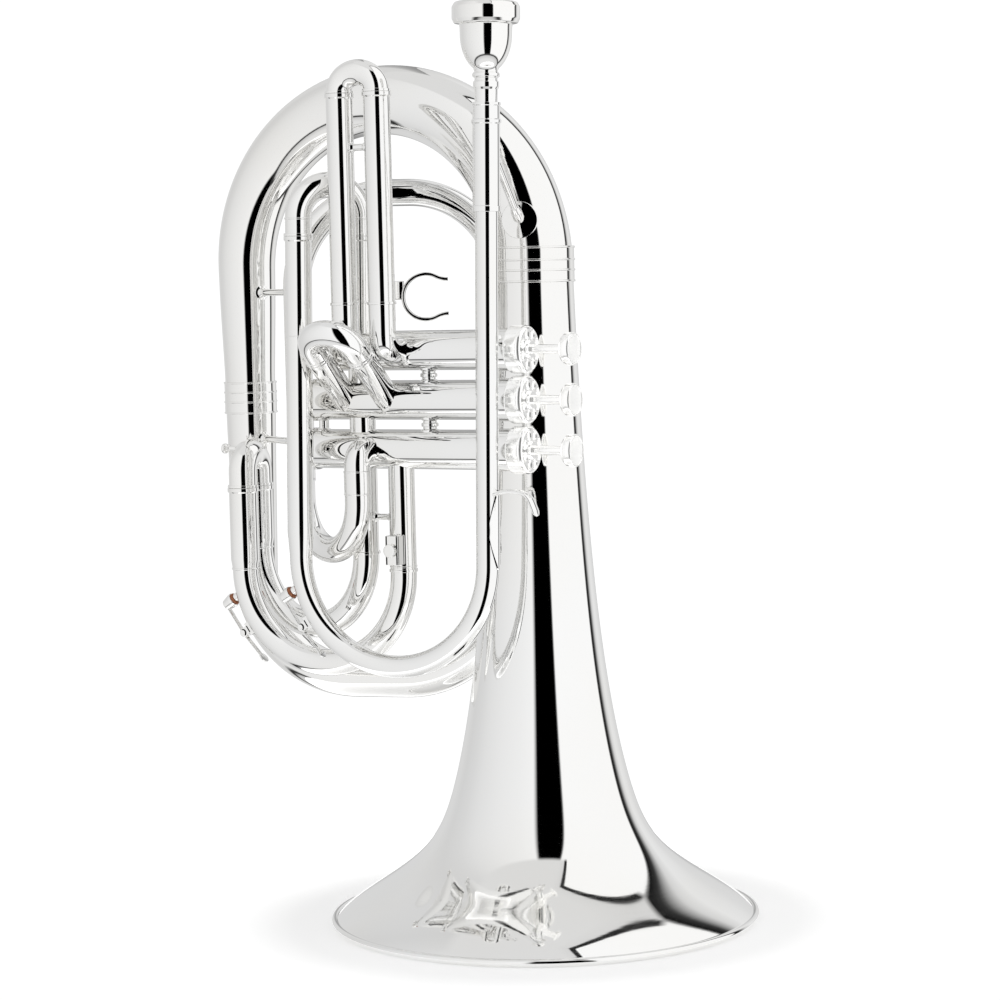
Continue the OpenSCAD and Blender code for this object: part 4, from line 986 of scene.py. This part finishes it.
def make_mouthpiece():
    """Shank, cup, rim and bore in one turned profile."""
    top = 533.0
    tip = 457.5
    cup_r, cup_depth, cup_z = 14.5, 21.5, 515
    outer = [(5.85, tip, 0.3), (6.37, 477.5, 0), (6.6, 484.6, 0.4), (7.3, 486, 0.8), (7.3, 488.6, 0.8),
             (6.4, 489.8, 0.5), (6.4, 490.8, 0.4), (7.7, 491.8, 0.8), (7.7, 493.2, 0.8), (6.5, 494.6, 0.8)]
    angles = [math.radians(a) for a in range(30, 91, 4)]
    cup = [(cup_r * math.sin(a), cup_z - cup_depth * math.cos(a), 0) for a in angles]
    rim = [(14.6, 518.6, 0.8), (14.9, 520.4, 0.6), (17.8, 521.0, 1.0), (19, 523.4, 1.6), (19, 530, 1.8),
           (17.6, 532.4, 2.0), (15.8, top, 1.6), (14.2, 532.4, 0.8)]
    bowl = [(12.9, 530.4, 0.8), (12.75, 520, 0), (12.3, 514, 0), (11.2, 508.4, 0), (9.2, 503.4, 0),
            (6.6, 499.8, 0), (3.6, 497.2, 0.8), (3.3, 493, 0), (3.3, 488, 0), (4.6, tip, 0)]
    shape = turned(rounded(outer + cup + rim + bowl, 0.4, 5, closed=True), 112, closed=True)
    piece("mouthpiece_body", [move(shape, *PIPE)], ["mouthpiece"], BRIGHT, "mouthpiece", LEANING)


make_bell()
make_bell_ferrule()
make_top_bow()
make_branch_ferrule()
make_bottom_bow()
make_rear_ferrule()
make_inner_bow()
make_small_bow()
make_braces()
make_leadpipe()
make_tuning_tubes()
make_tuning_slide()
make_bell_brace()
make_thumb_hook()
make_finger_hook()
make_lyre_socket()
make_first_slide()
make_second_slide()
make_third_slide()
for index in range(3):
    make_valve(index)
make_casing_links()
for key in (1, 2):
    make_water_key(key)
make_mouthpiece()

for name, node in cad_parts.items():
    material = WIRE if name.startswith("valve_spring") else PISTON if name.startswith("piston") else SILVER
    node.data.materials.clear()
    node.data.materials.append(material)


# ------------------------------------------------------------------ studio
CAMERA_AZ = math.radians(27)


def make_floor():
    """A pale round floor in metres, whose glow grows outwards until it is as white as the backdrop."""
    mesh = bpy.data.meshes.new("floor")
    radius, sides = 0.27, 96
    ring = [(x, y, 0) for x, y in circle(radius, sides)]
    mesh.from_pydata(ring, [], [tuple(range(sides))])
    floor = bpy.data.objects.new("floor", mesh)
    bpy.context.scene.collection.objects.link(floor)
    material, tree, bsdf = nodes_of("floor_white")
    bsdf.inputs["Roughness"].default_value = 0.6
    bsdf.inputs["Base Color"].default_value = (0.86, 0.86, 0.86, 1)
    bsdf.inputs["Specular IOR Level"].default_value = 0.1
    bsdf.inputs["Emission Color"].default_value = (1, 1, 1, 1)
    coords = tree.nodes.new("ShaderNodeTexCoord")
    reach = tree.nodes.new("ShaderNodeVectorMath")
    reach.operation = "LENGTH"
    link(tree, coords.outputs["Object"], reach.inputs[0])
    link(tree, ramp(tree, reach.outputs["Value"], 0.15, 0.25, 0.3, 0.75), bsdf.inputs["Emission Strength"])
    mesh.materials.append(material)


def make_world():
    """A studio of light panels and black flags, told apart by direction, and plain white to the camera."""
    world = bpy.data.worlds.new("studio")
    bpy.context.scene.world = world
    world.use_nodes = True
    tree = world.node_tree
    tree.nodes.clear()
    coords = tree.nodes.new("ShaderNodeTexCoord")

    def dot(direction):
        node = tree.nodes.new("ShaderNodeVectorMath")
        node.operation = "DOT_PRODUCT"
        node.inputs[1].default_value = direction
        link(tree, coords.outputs["Generated"], node.inputs[0])
        return node.outputs["Value"]

    front = dot((math.sin(CAMERA_AZ), -math.cos(CAMERA_AZ), 0))
    right = dot((math.cos(CAMERA_AZ), math.sin(CAMERA_AZ), 0))
    up = dot((0, 0, 1))
    angle = tree.nodes.new("ShaderNodeMath")
    angle.operation = "ARCTAN2"
    link(tree, right, angle.inputs[0])
    link(tree, front, angle.inputs[1])

    def maths(operation, a, b):
        node = tree.nodes.new("ShaderNodeMath")
        node.operation = operation
        for socket, value in zip(node.inputs, (a, b)):
            if isinstance(value, float):
                socket.default_value = value
            else:
                link(tree, value, socket)
        return node.outputs[0]

    def bands(factor, stops):
        """A colour ramp through (place, brightness) stops."""
        node = tree.nodes.new("ShaderNodeValToRGB")
        link(tree, factor, node.inputs["Fac"])
        elements = node.color_ramp.elements
        while len(elements) > 1:
            elements.remove(elements[-1])
        for k, (place, value) in enumerate(stops):
            stop = elements[0] if k == 0 else elements.new(place)
            stop.position = place
            stop.color = (value, value, value, 1)
        return node.outputs["Color"]

    # The right side of the pattern leans outwards with height, by up to 26 degrees
    radians = angle.outputs[0]
    lean = maths("MULTIPLY", ramp(tree, up, 0.0, 0.81, 0, math.radians(26)),
                 ramp(tree, radians, math.radians(40), math.radians(110), 0, 1))
    turn = ramp(tree, maths("SUBTRACT", radians, lean), -math.pi, math.pi, 0, 1)
    # Brightness of the walls by degrees from the front: grey on the left, a black flag, the big panel
    # on the right, another flag, and grey again
    walls = bands(turn, [((degrees + 180) / 360, value) for degrees, value in (
        (-180, 0.30), (-174, 0.45), (-168, 0.70), (-150, 0.72), (-130, 0.68), (-110, 0.72), (-90, 0.79),
        (-60, 0.86), (-30, 0.91), (-12, 0.95), (-7, 0.0), (25, 0.0), (27, 1.02), (111, 1.02), (113, 0.0),
        (119, 0.04), (123, 0.38), (127, 0.70), (135, 0.84), (145, 0.80), (153, 0.74), (166, 0.70),
        (174, 0.45), (180, 0.30))])
    # The big panel reaches over the ceiling's edge as far as two slanting lines, with a black border
    slant = maths("ADD", front, maths("MULTIPLY", right, 1.36))
    edge_1 = maths("MULTIPLY", maths("SUBTRACT", slant, 0.19), 0.59)
    edge_2 = maths("SUBTRACT", maths("SUBTRACT", right, maths("MULTIPLY", front, 0.34)), 0.15)
    inside = ramp(tree, maths("MINIMUM", edge_1, edge_2), -0.1, 0.1, 0, 1)
    overhead = bands(inside, [(0.0, 0.76), (0.30, 0.72), (0.34, 0.02), (0.47, 0.02), (0.50, 1.02),
                              (1.0, 1.02)])
    level = maths("ADD", up, ramp(tree, radians, math.radians(122), math.radians(136), 0, 0.11))
    ceiling = mixed(tree, ramp(tree, level, 0.865, 0.895, 0, 1), walls, overhead)
    depth = maths("MULTIPLY", up, -1.0)
    below = bands(depth, [(0.0, 0.04), (0.72, 0.04), (0.75, 0.62), (0.85, 0.80), (1.0, 0.86)])
    ground = mixed(tree, ramp(tree, depth, 0.66, 0.70, 0, 1), ceiling, below)
    seen = tree.nodes.new("ShaderNodeLightPath")
    backdrop = mixed(tree, seen.outputs["Is Camera Ray"], ground, (1.05, 1.05, 1.05))
    background = tree.nodes.new("ShaderNodeBackground")
    background.inputs["Strength"].default_value = 1.0
    link(tree, backdrop, background.inputs["Color"])
    output = tree.nodes.new("ShaderNodeOutputWorld")
    link(tree, background.outputs["Background"], output.inputs["Surface"])


def make_camera():
    """Seen from 27 degrees right of the front, a little above the middle of the horn."""
    distance, height = 1.6761, 0.3788
    turn, pitch, roll = (math.radians(a) for a in (0.7247, -4.44, 1.331))
    data = bpy.data.cameras.new("camera")
    data.lens = 103.1
    data.sensor_width = 36.0
    data.clip_start = 0.05
    data.clip_end = 60.0
    camera = bpy.data.objects.new("camera", data)
    bpy.context.scene.collection.objects.link(camera)
    heading = Vector((-math.sin(CAMERA_AZ), math.cos(CAMERA_AZ), 0))
    place = heading * -distance + UP * height
    heading = Matrix.Rotation(turn, 3, "Z") @ heading
    right = Vector((heading.y, -heading.x, 0))
    forward = heading * math.cos(pitch) + UP * math.sin(pitch)
    up = right.cross(forward)
    rolled = right * math.cos(roll) - up * math.sin(roll)
    above = right * math.sin(roll) + up * math.cos(roll)
    m = Matrix((rolled, above, -forward)).transposed().to_4x4()
    m.translation = place
    camera.matrix_world = m
    bpy.context.scene.camera = camera


make_floor()
make_world()
make_camera()
view = bpy.context.scene.view_settings
view.view_transform = "Standard"
view.look = "None"
